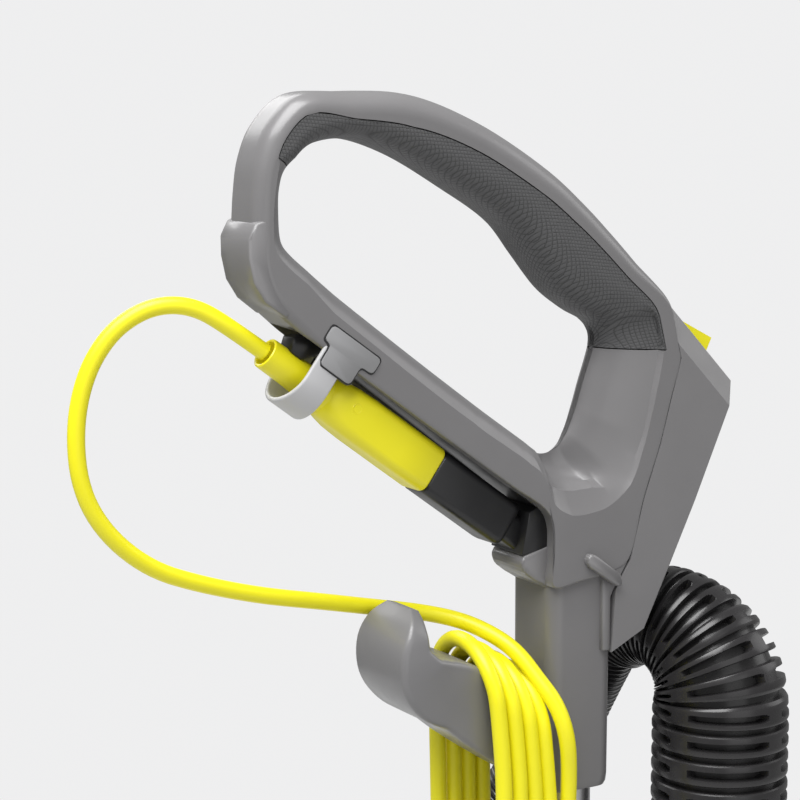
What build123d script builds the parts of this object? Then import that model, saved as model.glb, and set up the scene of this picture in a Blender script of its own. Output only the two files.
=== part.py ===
"""Upright carpet cleaning machine: brush head, tilting body, looped handle, hose and stowed mains cord.

Millimetres, +Z up, the front of the machine towards -Y, the person holding it on the +Y side. The origin
is on the floor under the middle of the machine.
"""

import os
from math import cos, radians, sin, tan

from build123d import *

os.makedirs("parts", exist_ok=True)

# ---- driving dimensions -------------------------------------------------------------------------------
REACH = 192.0                # from the origin to the bumper's nose, and to the back of the handle loop
BASE_HALF = 155.0            # half the width over the bumper
HEAD_HALF = 20.0             # half the width of the handle head
LOOP_HALF = 14.0             # half the width of the loop at its back
STEM = (0.0, 27.0)           # x and y of the stem tube's axis
STEM_R = 14.0
SLEEVE_LOW, SLEEVE_TOP = 858.0, 955.0
BAR_SLOPE = 35.8             # degrees that the lower bar and the plug below it rise towards the back
PIVOT = (10.0, 66.0)         # y and z of the axis that the machine tilts about

BODY_HALF, BODY_FRONT, BODY_BACK = 88.0, -112.0, 8.0
BODY_LOW, BODY_TOP = 120.0, 760.0
WALL = 4.0
BAG_FLOOR = 322.0            # height of the floor between the dust bag and the motor
DOOR_HALF, DOOR_LOW, DOOR_TOP = 69.5, 352.0, 734.0
HINGE = (-106.0, 347.0)      # y and z of the door's hinge pin

CORD_R = 3.75
HOSE_R = 19.0
WAND = (118.0, 20.0)         # x and y of the stowed wand's axis
PORT = (-25.0, -46.5)        # x and y of the hose port in the top of the body
TOOL = (-112.0, -20.0)       # x and y of the crevice tool and of its peg

FIT = 0.05                   # radial running clearance
GAP = 0.5                    # clearance round anything that moves past its neighbour

ROLLER = (-152.0, 29.0)      # y and z of the brush roller's axis
ROLLER_R, BRISTLE_R = 15.0, 25.0
BRUSH_MOTOR = (-84.0, 44.0)
PULLEY_R, ROLLER_PULLEY_R = 9.0, 13.5
WHEEL = (44.0, 36.0)         # y and z of the back axle
WHEEL_R = 36.0
CASTER = (-108.0, 12.0)
CASTER_R = 12.0


def finish(part, label):
    """Label a finished piece and write its file."""
    part.label = label
    export_step(part, f"parts/{label}.step")


# ---- outlines of the handle, in the Y-Z plane ---------------------------------------------------------
SEAM = [(-17, 1081), (-24, 1053), (-13, 1014), (-4, 989), (3, 962), (11, 949), (13, 946)]
GRIP_TOP = [
    (-17, 1081), (14, 1114), (45, 1140.5), (80, 1161), (113, 1171.5), (142, 1174),
    (163, 1169), (178, 1156), (186, 1136), (188.5, 1117),
]
GRIP_UNDER = [
    (175, 1134), (169, 1146), (160, 1152.5), (142, 1154.5), (118, 1147), (88, 1131),
    (62, 1114), (51, 1100), (39, 1085), (26, 1076), (13, 1071),
]
SOFT_LINE = [
    (176, 1150), (167, 1160), (153, 1163), (133, 1161), (108, 1156), (82, 1148),
    (60, 1136), (38, 1120), (18, 1102), (-1, 1083), (-13, 1070), (-16, 1058),
]
LEDGE = (REACH, 1113)
BAR_END = (170, 1076)
BAR_ROOT = (44, 985.2)


SCREWS = [(2, 1040), (30, 975), (176, 1122), (120, 1166), (60, 1143)]
SCREW_R, SCREW_DEEP = 2.6, 3.0


def half_width(y):
    """Half the width of the handle at a distance y behind the origin: it narrows from the head back."""
    return HEAD_HALF - (HEAD_HALF - LOOP_HALF) * max(0.0, y - 40) / (REACH - 40)


def handle_block():
    """The loop, its neck and the back half of the head, before the soft grip is parted from it."""
    with BuildPart() as block:
        with BuildSketch(Plane.YZ):
            with BuildLine():
                Spline(GRIP_TOP, tangents=[(0.69, 0.72), (0.08, -1)])
                Line(GRIP_TOP[-1], LEDGE)
                ThreePointArc(LEDGE, (187, 1092), BAR_END)
                Polyline(BAR_END, BAR_ROOT, (45, 950), *reversed(SEAM))
            make_face()
            with BuildLine():
                Spline(GRIP_UNDER, tangents=[(0, 1), (-1, -0.15)])
                FilletPolyline(GRIP_UNDER[-1], (32.4, 999.4), (175, 1109.2), GRIP_UNDER[0], radius=(18, 18))
            make_face(mode=Mode.SUBTRACT)
        extrude(amount=HEAD_HALF, both=True)
        with BuildSketch(Plane.XY.offset(900)):
            with BuildLine():
                Polyline(
                    (HEAD_HALF, -60), (HEAD_HALF, 40), (LOOP_HALF, REACH), (-LOOP_HALF, REACH),
                    (-HEAD_HALF, 40), (-HEAD_HALF, -60), close=True,
                )
            make_face()
        extrude(amount=320, mode=Mode.INTERSECT)
    return block


def soft_region():
    """The stretch of the loop that the soft grip takes up, as a slab through the whole width."""
    with BuildPart() as slab:
        with BuildSketch(Plane.YZ):
            with BuildLine():
                Spline(SOFT_LINE)
                Polyline(SOFT_LINE[-1], (30, 1058), (60, 1060), (140, 1120), (172, 1134), SOFT_LINE[0])
            make_face()
        extrude(amount=HEAD_HALF + 5, both=True)
    return slab


# ---- handle, grip and head ----------------------------------------------------------------------------
BAR = Plane(
    origin=(0, 100.5, 1009.5),
    x_dir=(0, cos(radians(BAR_SLOPE)), sin(radians(BAR_SLOPE))),
    z_dir=(1, 0, 0),
)                            # local x runs back along the plug, local y up towards the bar
PLUG_AXIS = Plane(origin=BAR.origin, z_dir=BAR.x_dir, x_dir=(1, 0, 0))
CLIP_AT = 70.0               # middle of the clip's side plates, along the plug's axis
BAND_AT, BAND_WIDE = 74.5, 13.0
BAND_R, BAND_THICK = 15.4, 2.2
PLUG_SIZE, PLUG_LENGTH, COLLAR_END = 21.5, 63.0, 96.0
SOCKET_SIZE, SOCKET_LENGTH = 19.0, 47.0
SIDES = (1, -1)

with BuildPart() as handle_shell:
    add(handle_block().part)
    add(soft_region().part, mode=Mode.SUBTRACT)
    with BuildSketch(Plane.XY.offset(SLEEVE_LOW)):
        with Locations(STEM):
            Ellipse(18, 20)
    extrude(amount=SLEEVE_TOP - SLEEVE_LOW)
    with BuildSketch(Plane.YZ):
        with BuildLine():
            Polyline((40, 985), (60, 974), (66, 964), (60, 953), (44, 944), (40, 944), close=True)
        make_face()
    extrude(amount=13, both=True)
    with BuildSketch(PLUG_AXIS.offset(-96)):
        RectangleRounded(23, 23, 5)
    extrude(amount=60, mode=Mode.SUBTRACT)
    with BuildSketch(BAR):
        with Locations((8, 8)):
            Rectangle(104, 16)
    extrude(amount=11.6, both=True, mode=Mode.SUBTRACT)
    with BuildSketch(Plane.XY.offset(SLEEVE_LOW)):
        with Locations(STEM):
            Circle(STEM_R)
    extrude(amount=70, mode=Mode.SUBTRACT)
    for side in SIDES:
        with BuildSketch(BAR.offset(side * (BAND_R - BAND_THICK))):
            with Locations((CLIP_AT, 20.3)):
                RectangleRounded(28, 8, 2)
            with Locations((CLIP_AT + 1, 12)):
                Rectangle(21, 12)
        extrude(amount=side * 10, mode=Mode.SUBTRACT)
    for y, z in SCREWS:
        with BuildSketch(Plane.YZ.offset(half_width(y) - SCREW_DEEP)):
            with Locations((y, z)):
                Circle(SCREW_R)
        extrude(amount=SCREW_DEEP + 2, mode=Mode.SUBTRACT)
finish(handle_shell.part, "handle_shell")

with BuildPart() as soft_grip:
    add(handle_block().part)
    add(soft_region().part, mode=Mode.INTERSECT)
finish(soft_grip.part, "soft_grip")

COVER_SLOPE = Plane(origin=(0, -17, 1081), x_dir=(1, 0, 0), z_dir=(0, -0.698, -0.716))
SWITCH = Plane(origin=(0, -38.5, 1058.9), x_dir=(0, -0.698, -0.716), z_dir=(-1, 0, 0))

with BuildPart() as head_front_cover:
    with BuildSketch(Plane.YZ):
        with BuildLine():
            Polyline(*SEAM[:-1], (13, 920), (-5, 929), (-16, 951), (-33, 986), (-57, 1040), close=True)
        make_face()
    extrude(amount=HEAD_HALF, both=True)
    with BuildSketch(COVER_SLOPE.offset(-5)):
        for side in (1, -1):
            with BuildLine():
                Polyline((side * 21, 1), (side * 14, 1), (side * 21, -13), close=True)
            make_face()
    extrude(amount=80, mode=Mode.SUBTRACT)
    with BuildSketch(Plane.YZ):
        with BuildLine():
            Polyline((-20, 1072), (-48, 1040), (-28, 990), (-12, 958), (-2, 958), (-12, 989), (-21, 1014),
                     (-30, 1053), close=True)
        make_face()
    extrude(amount=13.5, both=True, mode=Mode.SUBTRACT)
    with BuildSketch(SWITCH):
        Rectangle(25, 30)
    extrude(amount=8, both=True, mode=Mode.SUBTRACT)
    with BuildSketch(SWITCH):
        with Locations((0, -6)):
            Circle(1.5)
    extrude(amount=14, both=True, mode=Mode.SUBTRACT)
    with BuildSketch(Plane.XY.offset(SLEEVE_LOW)):
        with Locations(STEM):
            Ellipse(18, 20)
    extrude(amount=100, mode=Mode.SUBTRACT)
finish(head_front_cover.part, "head_front_cover")

with BuildPart() as power_switch:
    with BuildSketch(SWITCH):
        with BuildLine():
            Polyline((-11, -6), (-11, 3), (8, 9.5), (11, 1), (11, -6), close=True)
        make_face()
        with Locations((0, -6)):
            Circle(1.55, mode=Mode.SUBTRACT)
    extrude(amount=7.2, both=True)
finish(power_switch.part, "power_switch")

with BuildPart() as switch_module:
    with BuildSketch(Plane.YZ):
        with BuildLine():
            Polyline((-27, 1030), (-40, 1030), (-32, 1008), (-22, 1008), close=True)
        make_face()
    extrude(amount=12, both=True)
finish(switch_module.part, "switch_module")

with BuildPart() as switch_pin:
    with BuildSketch(SWITCH):
        with Locations((0, -6)):
            Circle(1.5)
    extrude(amount=14, both=True)
finish(switch_pin.part, "switch_pin")

with BuildPart() as appliance_inlet:
    with BuildSketch(PLUG_AXIS.offset(-92)):
        RectangleRounded(13, 13, 3)
    extrude(amount=92 - SOCKET_LENGTH)
    with BuildSketch(PLUG_AXIS.offset(-SOCKET_LENGTH)):
        RectangleRounded(SOCKET_SIZE, SOCKET_SIZE, 4)
    extrude(amount=SOCKET_LENGTH)
    with BuildSketch(PLUG_AXIS.offset(-14)):
        RectangleRounded(15, 15, 3)
    extrude(amount=14, mode=Mode.SUBTRACT)
finish(appliance_inlet.part, "appliance_inlet")

with BuildPart() as inlet_pins:
    with BuildSketch(PLUG_AXIS.offset(-14)):
        with GridLocations(8, 0, 2, 1):
            Circle(2)
    extrude(amount=12)
finish(inlet_pins.part, "inlet_pins")

with BuildPart() as cord_connector:
    with BuildSketch(PLUG_AXIS):
        RectangleRounded(PLUG_SIZE, PLUG_SIZE, 6)
    extrude(amount=PLUG_LENGTH)
finish(cord_connector.part, "cord_connector")

with BuildPart() as strain_relief:
    with BuildSketch(PLUG_AXIS.offset(PLUG_LENGTH)):
        Circle(7.5)
    with BuildSketch(PLUG_AXIS.offset(COLLAR_END)):
        Circle(6.2)
    loft()
    with BuildSketch(PLUG_AXIS.offset(COLLAR_END - 10)):
        Circle(CORD_R)
    extrude(amount=12, mode=Mode.SUBTRACT)
finish(strain_relief.part, "strain_relief")

with BuildPart() as cord_clip:
    with BuildSketch(PLUG_AXIS.offset(BAND_AT - BAND_WIDE / 2)):
        Circle(BAND_R)
        Rectangle(2 * BAND_R, 14, align=(Align.CENTER, Align.MAX))
        Circle(BAND_R - BAND_THICK, mode=Mode.SUBTRACT)
        Rectangle(2 * (BAND_R - BAND_THICK), 20, align=(Align.CENTER, Align.MAX), mode=Mode.SUBTRACT)
    extrude(amount=BAND_WIDE)
    for side in SIDES:
        with BuildSketch(BAR.offset(side * (BAND_R - BAND_THICK))):
            with Locations((CLIP_AT, 20.3)):
                RectangleRounded(27.4, 7.4, 1.8)
            with Locations((CLIP_AT + 1, 13)):
                Rectangle(16.2, 10)
        extrude(amount=side * BAND_THICK)
finish(cord_clip.part, "cord_clip")

with BuildPart() as handle_screws:
    for y, z in SCREWS:
        with BuildSketch(Plane.YZ.offset(half_width(y) - SCREW_DEEP)):
            with Locations((y, z)):
                Circle(SCREW_R)
                Rectangle(1, 3.4, mode=Mode.SUBTRACT)
                Rectangle(3.4, 1, mode=Mode.SUBTRACT)
        extrude(amount=2.2)
finish(handle_screws.part, "handle_screws")

# ---- cord hooks and stem ------------------------------------------------------------------------------
HOOK_HALF = 18.0
HOOK_RIDGE = [(46, 900), (76, 920), (97, 932)]      # y, z along the top of the hook's arm

with BuildPart() as cable_hook_upper:
    with BuildSketch(Plane.YZ):
        with BuildLine():
            Polyline(*HOOK_RIDGE, (103, 948), (108, 951), (114, 948), (127, 931), (125, 922), (113, 909),
                     (74, 880), (46, 862), close=True)
        make_face()
    extrude(amount=HOOK_HALF, both=True)
    with BuildSketch(Plane(origin=(0, *HOOK_RIDGE[1]), x_dir=(1, 0, 0), z_dir=(0, 0.86, 0.51))):
        for side in SIDES:
            with BuildLine():
                Polyline((side * 21, -40), (side * 4, -40), (side * 4, 0), (side * 21, 18), close=True)
            make_face()
    extrude(amount=20, mode=Mode.SUBTRACT)
    with BuildSketch(Plane(origin=(0, *HOOK_RIDGE[1]), x_dir=(1, 0, 0), z_dir=(0, -0.86, -0.51))):
        for side in SIDES:
            with BuildLine():
                Polyline((side * 21, 40), (side * 4, 40), (side * 4, 0), (side * 21, -18), close=True)
            make_face()
    extrude(amount=45, mode=Mode.SUBTRACT)
    with BuildSketch(Plane.XY.offset(SLEEVE_LOW)):
        with Locations(STEM):
            Ellipse(18, 20)
    extrude(amount=100, mode=Mode.SUBTRACT)
finish(cable_hook_upper.part, "cable_hook_upper")

TUBE_LOW = 420.0
with BuildPart() as stem_tube:
    with BuildSketch(Plane.XY.offset(TUBE_LOW)):
        with Locations(STEM):
            Circle(STEM_R)
            Circle(STEM_R - 1.6, mode=Mode.SUBTRACT)
    extrude(amount=SLEEVE_LOW + 70 - TUBE_LOW)
finish(stem_tube.part, "stem_tube")

SOCKET_LOW, SOCKET_TOP = 400.0, 785.0
with BuildPart() as tube_socket:
    with BuildSketch(Plane.XY.offset(SOCKET_LOW)):
        with BuildLine():
            Polyline((-18, BODY_BACK), (-18, STEM[1]))
            ThreePointArc((-18, STEM[1]), (0, STEM[1] + 18), (18, STEM[1]))
            Polyline((18, STEM[1]), (18, BODY_BACK), (-18, BODY_BACK))
        make_face()
    extrude(amount=SOCKET_TOP - SOCKET_LOW)
    with BuildSketch(Plane.XY.offset(TUBE_LOW)):
        with Locations(STEM):
            Circle(STEM_R)
    extrude(amount=SOCKET_TOP - TUBE_LOW, mode=Mode.SUBTRACT)
finish(tube_socket.part, "tube_socket")

LOWER_HOOK = 346.0           # height of the lower hook's turning axis
HOOK_PIN_R, HOOK_BOSS = 5.0, 26.0
HINGE_R, BARREL_R = 2.0, 5.0
HINGE_HALF, KNUCKLE_HALF = 62.5, 50.0
with BuildPart() as cable_hook_lower:
    with BuildSketch(Plane.XZ.offset(-(BODY_BACK + GAP))):
        with Locations((0, LOWER_HOOK)):
            Circle(HOOK_PIN_R)
    extrude(amount=-30)
    with BuildSketch(Plane.XZ.offset(-(BODY_BACK + HOOK_BOSS + GAP))):
        with Locations((0, LOWER_HOOK)):
            Circle(14)
    extrude(amount=-58)
    with BuildSketch(Plane.XZ.offset(-(BODY_BACK + 79))):
        with Locations((0, LOWER_HOOK - 11)):
            RectangleRounded(36, 50, 10)
    extrude(amount=-6)
finish(cable_hook_lower.part, "cable_hook_lower")

# ---- main body ----------------------------------------------------------------------------------------
BODY_MID = (BODY_FRONT + BODY_BACK) / 2
BODY_DEEP = BODY_BACK - BODY_FRONT
BODY_HIGH = BODY_TOP - BODY_LOW
GRILLE_HALF, GRILLE_LOW, GRILLE_TOP = 50.0, 170.0, 290.0

with BuildPart() as body_housing:
    with Locations((0, BODY_MID, BODY_LOW)):
        Box(2 * BODY_HALF, BODY_DEEP, BODY_HIGH, align=(Align.CENTER, Align.CENTER, Align.MIN))
    fillet(body_housing.edges().filter_by(Axis.Z), 26)
    fillet(body_housing.faces().sort_by(Axis.Z)[-1].edges(), 18)
    for low, top in ((BODY_LOW + WALL, BAG_FLOOR), (BAG_FLOOR + WALL, BODY_TOP - WALL)):
        with BuildSketch(Plane.XY.offset(low)):
            with Locations((0, BODY_MID)):
                RectangleRounded(2 * (BODY_HALF - WALL), BODY_DEEP - 2 * WALL, 22)
        extrude(amount=top - low - 14 * (top > BAG_FLOOR), mode=Mode.SUBTRACT)
    with BuildSketch(Plane.XZ.offset(-BODY_FRONT - 30)):
        with Locations((0, (DOOR_LOW + DOOR_TOP) / 2)):
            RectangleRounded(2 * DOOR_HALF, DOOR_TOP - DOOR_LOW, 14)
        with Locations((0, (GRILLE_LOW + GRILLE_TOP) / 2)):
            Rectangle(2 * GRILLE_HALF, GRILLE_TOP - GRILLE_LOW)
        with Locations((0, HINGE[1] + 6)):
            Rectangle(2 * DOOR_HALF + 2, 30)
    extrude(amount=40, mode=Mode.SUBTRACT)
    with BuildSketch(Plane.XY.offset(BAG_FLOOR - 1)):
        with Locations((0, BODY_MID)):
            Circle(40)
    extrude(amount=WALL + 2, mode=Mode.SUBTRACT)
    with BuildSketch(Plane.XY.offset(BODY_TOP - 30)):
        with Locations(PORT):
            Circle(22)
    extrude(amount=40, mode=Mode.SUBTRACT)
    with BuildSketch(Plane.XZ.offset(-BODY_BACK)):
        with Locations((0, LOWER_HOOK)):
            Circle(16)
    extrude(amount=-HOOK_BOSS)
    with BuildSketch(Plane.XZ.offset(-BODY_BACK - HOOK_BOSS)):
        with Locations((0, LOWER_HOOK)):
            Circle(HOOK_PIN_R + FIT)
    extrude(amount=HOOK_BOSS, mode=Mode.SUBTRACT)
    for side in SIDES:
        with BuildSketch(Plane.YZ.offset(side * (KNUCKLE_HALF + GAP))):
            with Locations(HINGE):
                Circle(BARREL_R)
            with Locations((HINGE[0] - 2.5, HINGE[1])):
                Rectangle(7.5, 18, align=(Align.MIN, Align.MAX))
            with Locations(HINGE):
                Circle(HINGE_R, mode=Mode.SUBTRACT)
        extrude(amount=side * 12)
finish(body_housing.part, "body_housing")

with BuildPart() as exhaust_grille:
    with BuildSketch(Plane.XZ.offset(-BODY_FRONT)):
        with Locations((0, (GRILLE_LOW + GRILLE_TOP) / 2)):
            Rectangle(2 * GRILLE_HALF, GRILLE_TOP - GRILLE_LOW)
            with GridLocations(0, 12, 1, 8):
                SlotOverall(84, 6, mode=Mode.SUBTRACT)
    extrude(amount=-WALL)
finish(exhaust_grille.part, "exhaust_grille")

MOTOR_R, SHAFT_R, FAN_R = 52.0, 4.0, 48.0
with BuildPart() as suction_motor:
    with Locations((0, BODY_MID, 150)):
        Cylinder(MOTOR_R, 92, align=(Align.CENTER, Align.CENTER, Align.MIN))
    with Locations((0, BODY_MID, BODY_LOW + WALL)):
        Cylinder(30, 26, align=(Align.CENTER, Align.CENTER, Align.MIN))
    with BuildSketch(Plane.XY.offset(240)):
        with Locations((0, BODY_MID)):
            Circle(55)
            Circle(51, mode=Mode.SUBTRACT)
    extrude(amount=BAG_FLOOR - 240)
    with Locations((0, BODY_MID, 180)):
        Cylinder(SHAFT_R + FIT, 80, align=(Align.CENTER, Align.CENTER, Align.MIN), mode=Mode.SUBTRACT)
finish(suction_motor.part, "suction_motor")

with BuildPart() as fan_rotor:
    with Locations((0, BODY_MID, 185)):
        Cylinder(SHAFT_R, 90, align=(Align.CENTER, Align.CENTER, Align.MIN))
    with Locations((0, BODY_MID, 248)):
        Cylinder(FAN_R, 3, align=(Align.CENTER, Align.CENTER, Align.MIN))
    with BuildSketch(Plane.XY.offset(251)):
        with Locations((0, BODY_MID)):
            with PolarLocations(27, 9):
                Rectangle(38, 2, rotation=35)
    extrude(amount=16)
finish(fan_rotor.part, "fan_rotor")

with BuildPart() as motor_filter:
    with BuildSketch(Plane.XY.offset(BAG_FLOOR + WALL)):
        with Locations((0, BODY_MID)):
            RectangleRounded(130, 96, 8)
    extrude(amount=10)
finish(motor_filter.part, "motor_filter")

with BuildPart() as dust_bag:
    with Locations((0, BODY_MID, 345)):
        Box(126, 84, 350, align=(Align.CENTER, Align.CENTER, Align.MIN))
    fillet(dust_bag.edges(), 24)
finish(dust_bag.part, "dust_bag")

with BuildPart() as door_hinge_pin:
    with BuildSketch(Plane.YZ.offset(-HINGE_HALF)):
        with Locations(HINGE):
            Circle(HINGE_R)
    extrude(amount=2 * HINGE_HALF)
finish(door_hinge_pin.part, "door_hinge_pin")

DOOR_MID = (DOOR_LOW + DOOR_TOP) / 2
LATCH = (0.0, DOOR_TOP - 24)
with BuildPart() as bag_door:
    with BuildSketch(Plane.XZ.offset(-BODY_FRONT + 3)):
        with Locations((0, DOOR_MID)):
            RectangleRounded(2 * (DOOR_HALF - GAP), DOOR_TOP - DOOR_LOW - 2 * GAP, 13.5)
    extrude(amount=-7)
    with BuildSketch(Plane.XZ.offset(-BODY_FRONT + 3)):
        with Locations((0, DOOR_MID)):
            RectangleRounded(96, 330, 20)
    with BuildSketch(Plane.XZ.offset(-BODY_FRONT + 9)):
        with Locations((0, DOOR_MID)):
            RectangleRounded(84, 316, 16)
    loft()
    with BuildSketch(Plane.YZ):
        with Locations(HINGE):
            Circle(BARREL_R)
        with Locations((HINGE[0] - 4, HINGE[1] + 5)):
            Rectangle(6, 12)
    extrude(amount=KNUCKLE_HALF, both=True)
    with BuildSketch(Plane.YZ):
        with Locations(HINGE):
            Circle(HINGE_R + FIT)
    extrude(amount=KNUCKLE_HALF, both=True, mode=Mode.SUBTRACT)
    with BuildSketch(Plane.XZ.offset(-BODY_FRONT + 10)):
        with Locations(LATCH):
            Rectangle(31, 25)
    extrude(amount=-20, mode=Mode.SUBTRACT)
finish(bag_door.part, "bag_door")

with BuildPart() as door_latch:
    with BuildSketch(Plane.XZ.offset(-BODY_FRONT + 7)):
        with Locations((LATCH[0], LATCH[1] + 2.5)):
            RectangleRounded(30, 19, 2)
            with GridLocations(0, 4, 1, 3):
                Rectangle(22, 1.4, mode=Mode.SUBTRACT)
    extrude(amount=-9)
finish(door_latch.part, "door_latch")

# ---- hose, wand and tools -----------------------------------------------------------------------------
ARCH_R, ARCH_Z, ARCH_TURN = 36.0, 890.0, 140.0
ARCH_WAY = Vector(0.93, 0.37, 0).normalized()
ARCH_AXIS = Axis((PORT[0] + ARCH_R * ARCH_WAY.X, PORT[1] + ARCH_R * ARCH_WAY.Y, ARCH_Z),
                 (-ARCH_WAY.Y, ARCH_WAY.X, 0))
SLEEVE_R, LEG_R = 22.5, 31.0

with BuildPart() as hose_port_cuff:
    for low, high, r in ((732, 770, 22), (BODY_TOP, 767, 31), (767, 775, 26)):
        with BuildSketch(Plane.XY.offset(low)):
            with Locations(PORT):
                Circle(r)
        extrude(amount=high - low)
    with BuildSketch(Plane.XY.offset(732)):
        with Locations(PORT):
            Circle(18)
    extrude(amount=50, mode=Mode.SUBTRACT)
finish(hose_port_cuff.part, "hose_port_cuff")

with BuildPart() as hose_bend_sleeve:
    with BuildSketch(Plane.XY.offset(775)):
        with Locations(PORT):
            Circle(LEG_R)
            Circle(HOSE_R, mode=Mode.SUBTRACT)
    extrude(amount=ARCH_Z - 775)
    with BuildSketch(Plane.XY.offset(ARCH_Z)):
        with Locations(PORT):
            Circle(SLEEVE_R)
            Circle(HOSE_R, mode=Mode.SUBTRACT)
    revolve(axis=ARCH_AXIS, revolution_arc=ARCH_TURN)
finish(hose_bend_sleeve.part, "hose_bend_sleeve")

HOSE_ROUTE = [
    (34.2, -23, 913.1), (47.5, -21, 893), (60, -8, 851), (80, 11, 806), (104, 21, 768), (118, 20, 722),
    (118, 20, 670),
]


def corner_radii(route):
    """The largest arc each corner's two runs allow: 0.45 of the shorter run over the half turn's tangent."""
    points = [Vector(*p) for p in route]
    radii = []
    for a, b, c in zip(points, points[1:], points[2:]):
        turn = (b - a).get_angle(c - b)
        shorter = min((b - a).length, (c - b).length)
        radii.append(0.45 * shorter / tan(radians(turn / 2)))
    return radii


def cord_tube(route, r):
    """A round tube along straight runs joined by the arcs of corner_radii."""
    radii = corner_radii(route)
    start, second = Vector(*route[0]), Vector(*route[1])
    with BuildPart() as tube:
        with BuildLine():
            path = FilletPolyline(*route, radius=radii)
        with BuildSketch(Plane(origin=start, z_dir=second - start)):
            Circle(r)
        sweep()
    length = path.length
    print("route", round(length, 1), "mm, radii", [round(r) for r in radii],
          "volume ratio", round(tube.part.volume / (length * 3.14159 * r * r), 4))
    return tube


suction_hose = cord_tube(HOSE_ROUTE, HOSE_R)
finish(suction_hose.part, "suction_hose")

WAND_R, WAND_LOW, CUFF_LOW = 17.5, 200.0, 604.0
WAND_END_R, WAND_END = 17.0, 72.0    # the turned-down end that a floor tool goes over
with BuildPart() as wand_cuff:
    with BuildSketch(Plane.XY.offset(CUFF_LOW)):
        with Locations(WAND):
            Circle(22)
    extrude(amount=HOSE_ROUTE[-1][2] - CUFF_LOW)
    with BuildSketch(Plane.XY.offset(CUFF_LOW)):
        with Locations(WAND):
            Circle(WAND_R)
    extrude(amount=36, mode=Mode.SUBTRACT)
    with BuildSketch(Plane.XY.offset(CUFF_LOW)):
        with Locations(WAND):
            Circle(14)
    extrude(amount=66, mode=Mode.SUBTRACT)
finish(wand_cuff.part, "wand_cuff")

with BuildPart() as suction_wand:
    with BuildSketch(Plane.XY.offset(WAND_LOW)):
        with Locations(WAND):
            Circle(WAND_R)
            Circle(WAND_R - 1.5, mode=Mode.SUBTRACT)
    extrude(amount=CUFF_LOW + 36 - WAND_LOW)
    with BuildSketch(Plane.XY.offset(WAND_LOW)):
        with Locations(WAND):
            Circle(WAND_R + 1)
            Circle(WAND_END_R, mode=Mode.SUBTRACT)
    extrude(amount=WAND_END, mode=Mode.SUBTRACT)
finish(suction_wand.part, "suction_wand")

with BuildPart() as wand_clips:
    for low in (290, 500):
        with BuildSketch(Plane.XY.offset(low)):
            with Locations(WAND):
                Circle(21)
            with BuildLine():
                Polyline((BODY_HALF, -46), (BODY_HALF, -22), (102, 10), (118, 0), (110, -20), close=True)
            make_face()
            with Locations(WAND):
                Circle(WAND_R, mode=Mode.SUBTRACT)
            with Locations((WAND[0] + 14, WAND[1] + 14)):
                Rectangle(30, 12, rotation=135, mode=Mode.SUBTRACT)
        extrude(amount=22)
finish(wand_clips.part, "wand_clips")

PEG_R, PEG_LOW, PEG_HIGH = 15.5, 330.0, 32.0
FREE_PEG = (TOOL[0], TOOL[1] - 48)
with BuildPart() as accessory_holder:
    with BuildSketch(Plane.XY.offset(PEG_LOW - 12)):
        with BuildLine():
            Polyline((-BODY_HALF, -88), (-118, -88), (-132, -76), (-132, -12), (-118, 0), (-104, 0),
                     (-BODY_HALF, -18), close=True)
        make_face()
    extrude(amount=12)
    with BuildSketch(Plane.XY.offset(PEG_LOW)):
        with Locations(TOOL, FREE_PEG):
            Circle(PEG_R)
    extrude(amount=PEG_HIGH)
finish(accessory_holder.part, "accessory_holder")

with BuildPart() as crevice_tool:
    with BuildSketch(Plane.XY.offset(PEG_LOW)):
        with Locations(TOOL):
            Circle(PEG_R + 3)
    extrude(amount=46)
    with BuildSketch(Plane.XY.offset(PEG_LOW + 46)):
        with Locations(TOOL):
            Circle(PEG_R + 2)
    with BuildSketch(Plane.XY.offset(PEG_LOW + 230)):
        with Locations(TOOL):
            RectangleRounded(15, 34, 5)
    loft()
    with BuildSketch(Plane.XY.offset(PEG_LOW)):
        with Locations(TOOL):
            Circle(PEG_R + FIT)
    extrude(amount=PEG_HIGH + 10, mode=Mode.SUBTRACT)
    with BuildSketch(Plane.XY.offset(PEG_LOW + 40)):
        with Locations(TOOL):
            RectangleRounded(10, 24, 3)
    extrude(amount=200, mode=Mode.SUBTRACT)
finish(crevice_tool.part, "crevice_tool")

# ---- tilting yoke -------------------------------------------------------------------------------------
YOKE_HALF, YOKE_IN, PIN_R = 58.0, 44.0, 8.0
with BuildPart() as pivot_yoke:
    with BuildSketch(Plane.YZ):
        with Locations(PIVOT):
            Circle(26)
        with Locations((PIVOT[0] - 12, 104)):
            Rectangle(60, 2 * (BODY_LOW - 104))
    extrude(amount=YOKE_HALF, both=True)
    with Locations((0, PIVOT[0], 36)):
        Box(2 * YOKE_IN, 120, 70, align=(Align.CENTER, Align.CENTER, Align.MIN), mode=Mode.SUBTRACT)
    with BuildSketch(Plane.YZ):
        with Locations(PIVOT):
            Circle(PIN_R + FIT)
    extrude(amount=YOKE_HALF, both=True, mode=Mode.SUBTRACT)
finish(pivot_yoke.part, "pivot_yoke")

# ---- stowed mains cord --------------------------------------------------------------------------------
CORD_ROUTE = [
    (0, 178.4, 1065.7), (1, 194, 1077), (4, 207, 1085.5), (7, 220, 1087.5), (10, 232, 1084), (12, 244, 1075),
    (14, 253.5, 1059), (15, 258, 1037), (15, 256, 1012), (15, 245, 992), (16, 225, 975), (18, 201, 965.5),
    (21, 171, 956.5), (24, 141, 950), (26, 112, 943.5), (23, 90, 939.5), (13, 73, 935.5), (0, 63.5, 930),
    (-10, 57.5, 923.5), (-19, 53, 913),
]
cord_loop = cord_tube(CORD_ROUTE, CORD_R)
finish(cord_loop.part, "cord_loop")

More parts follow.
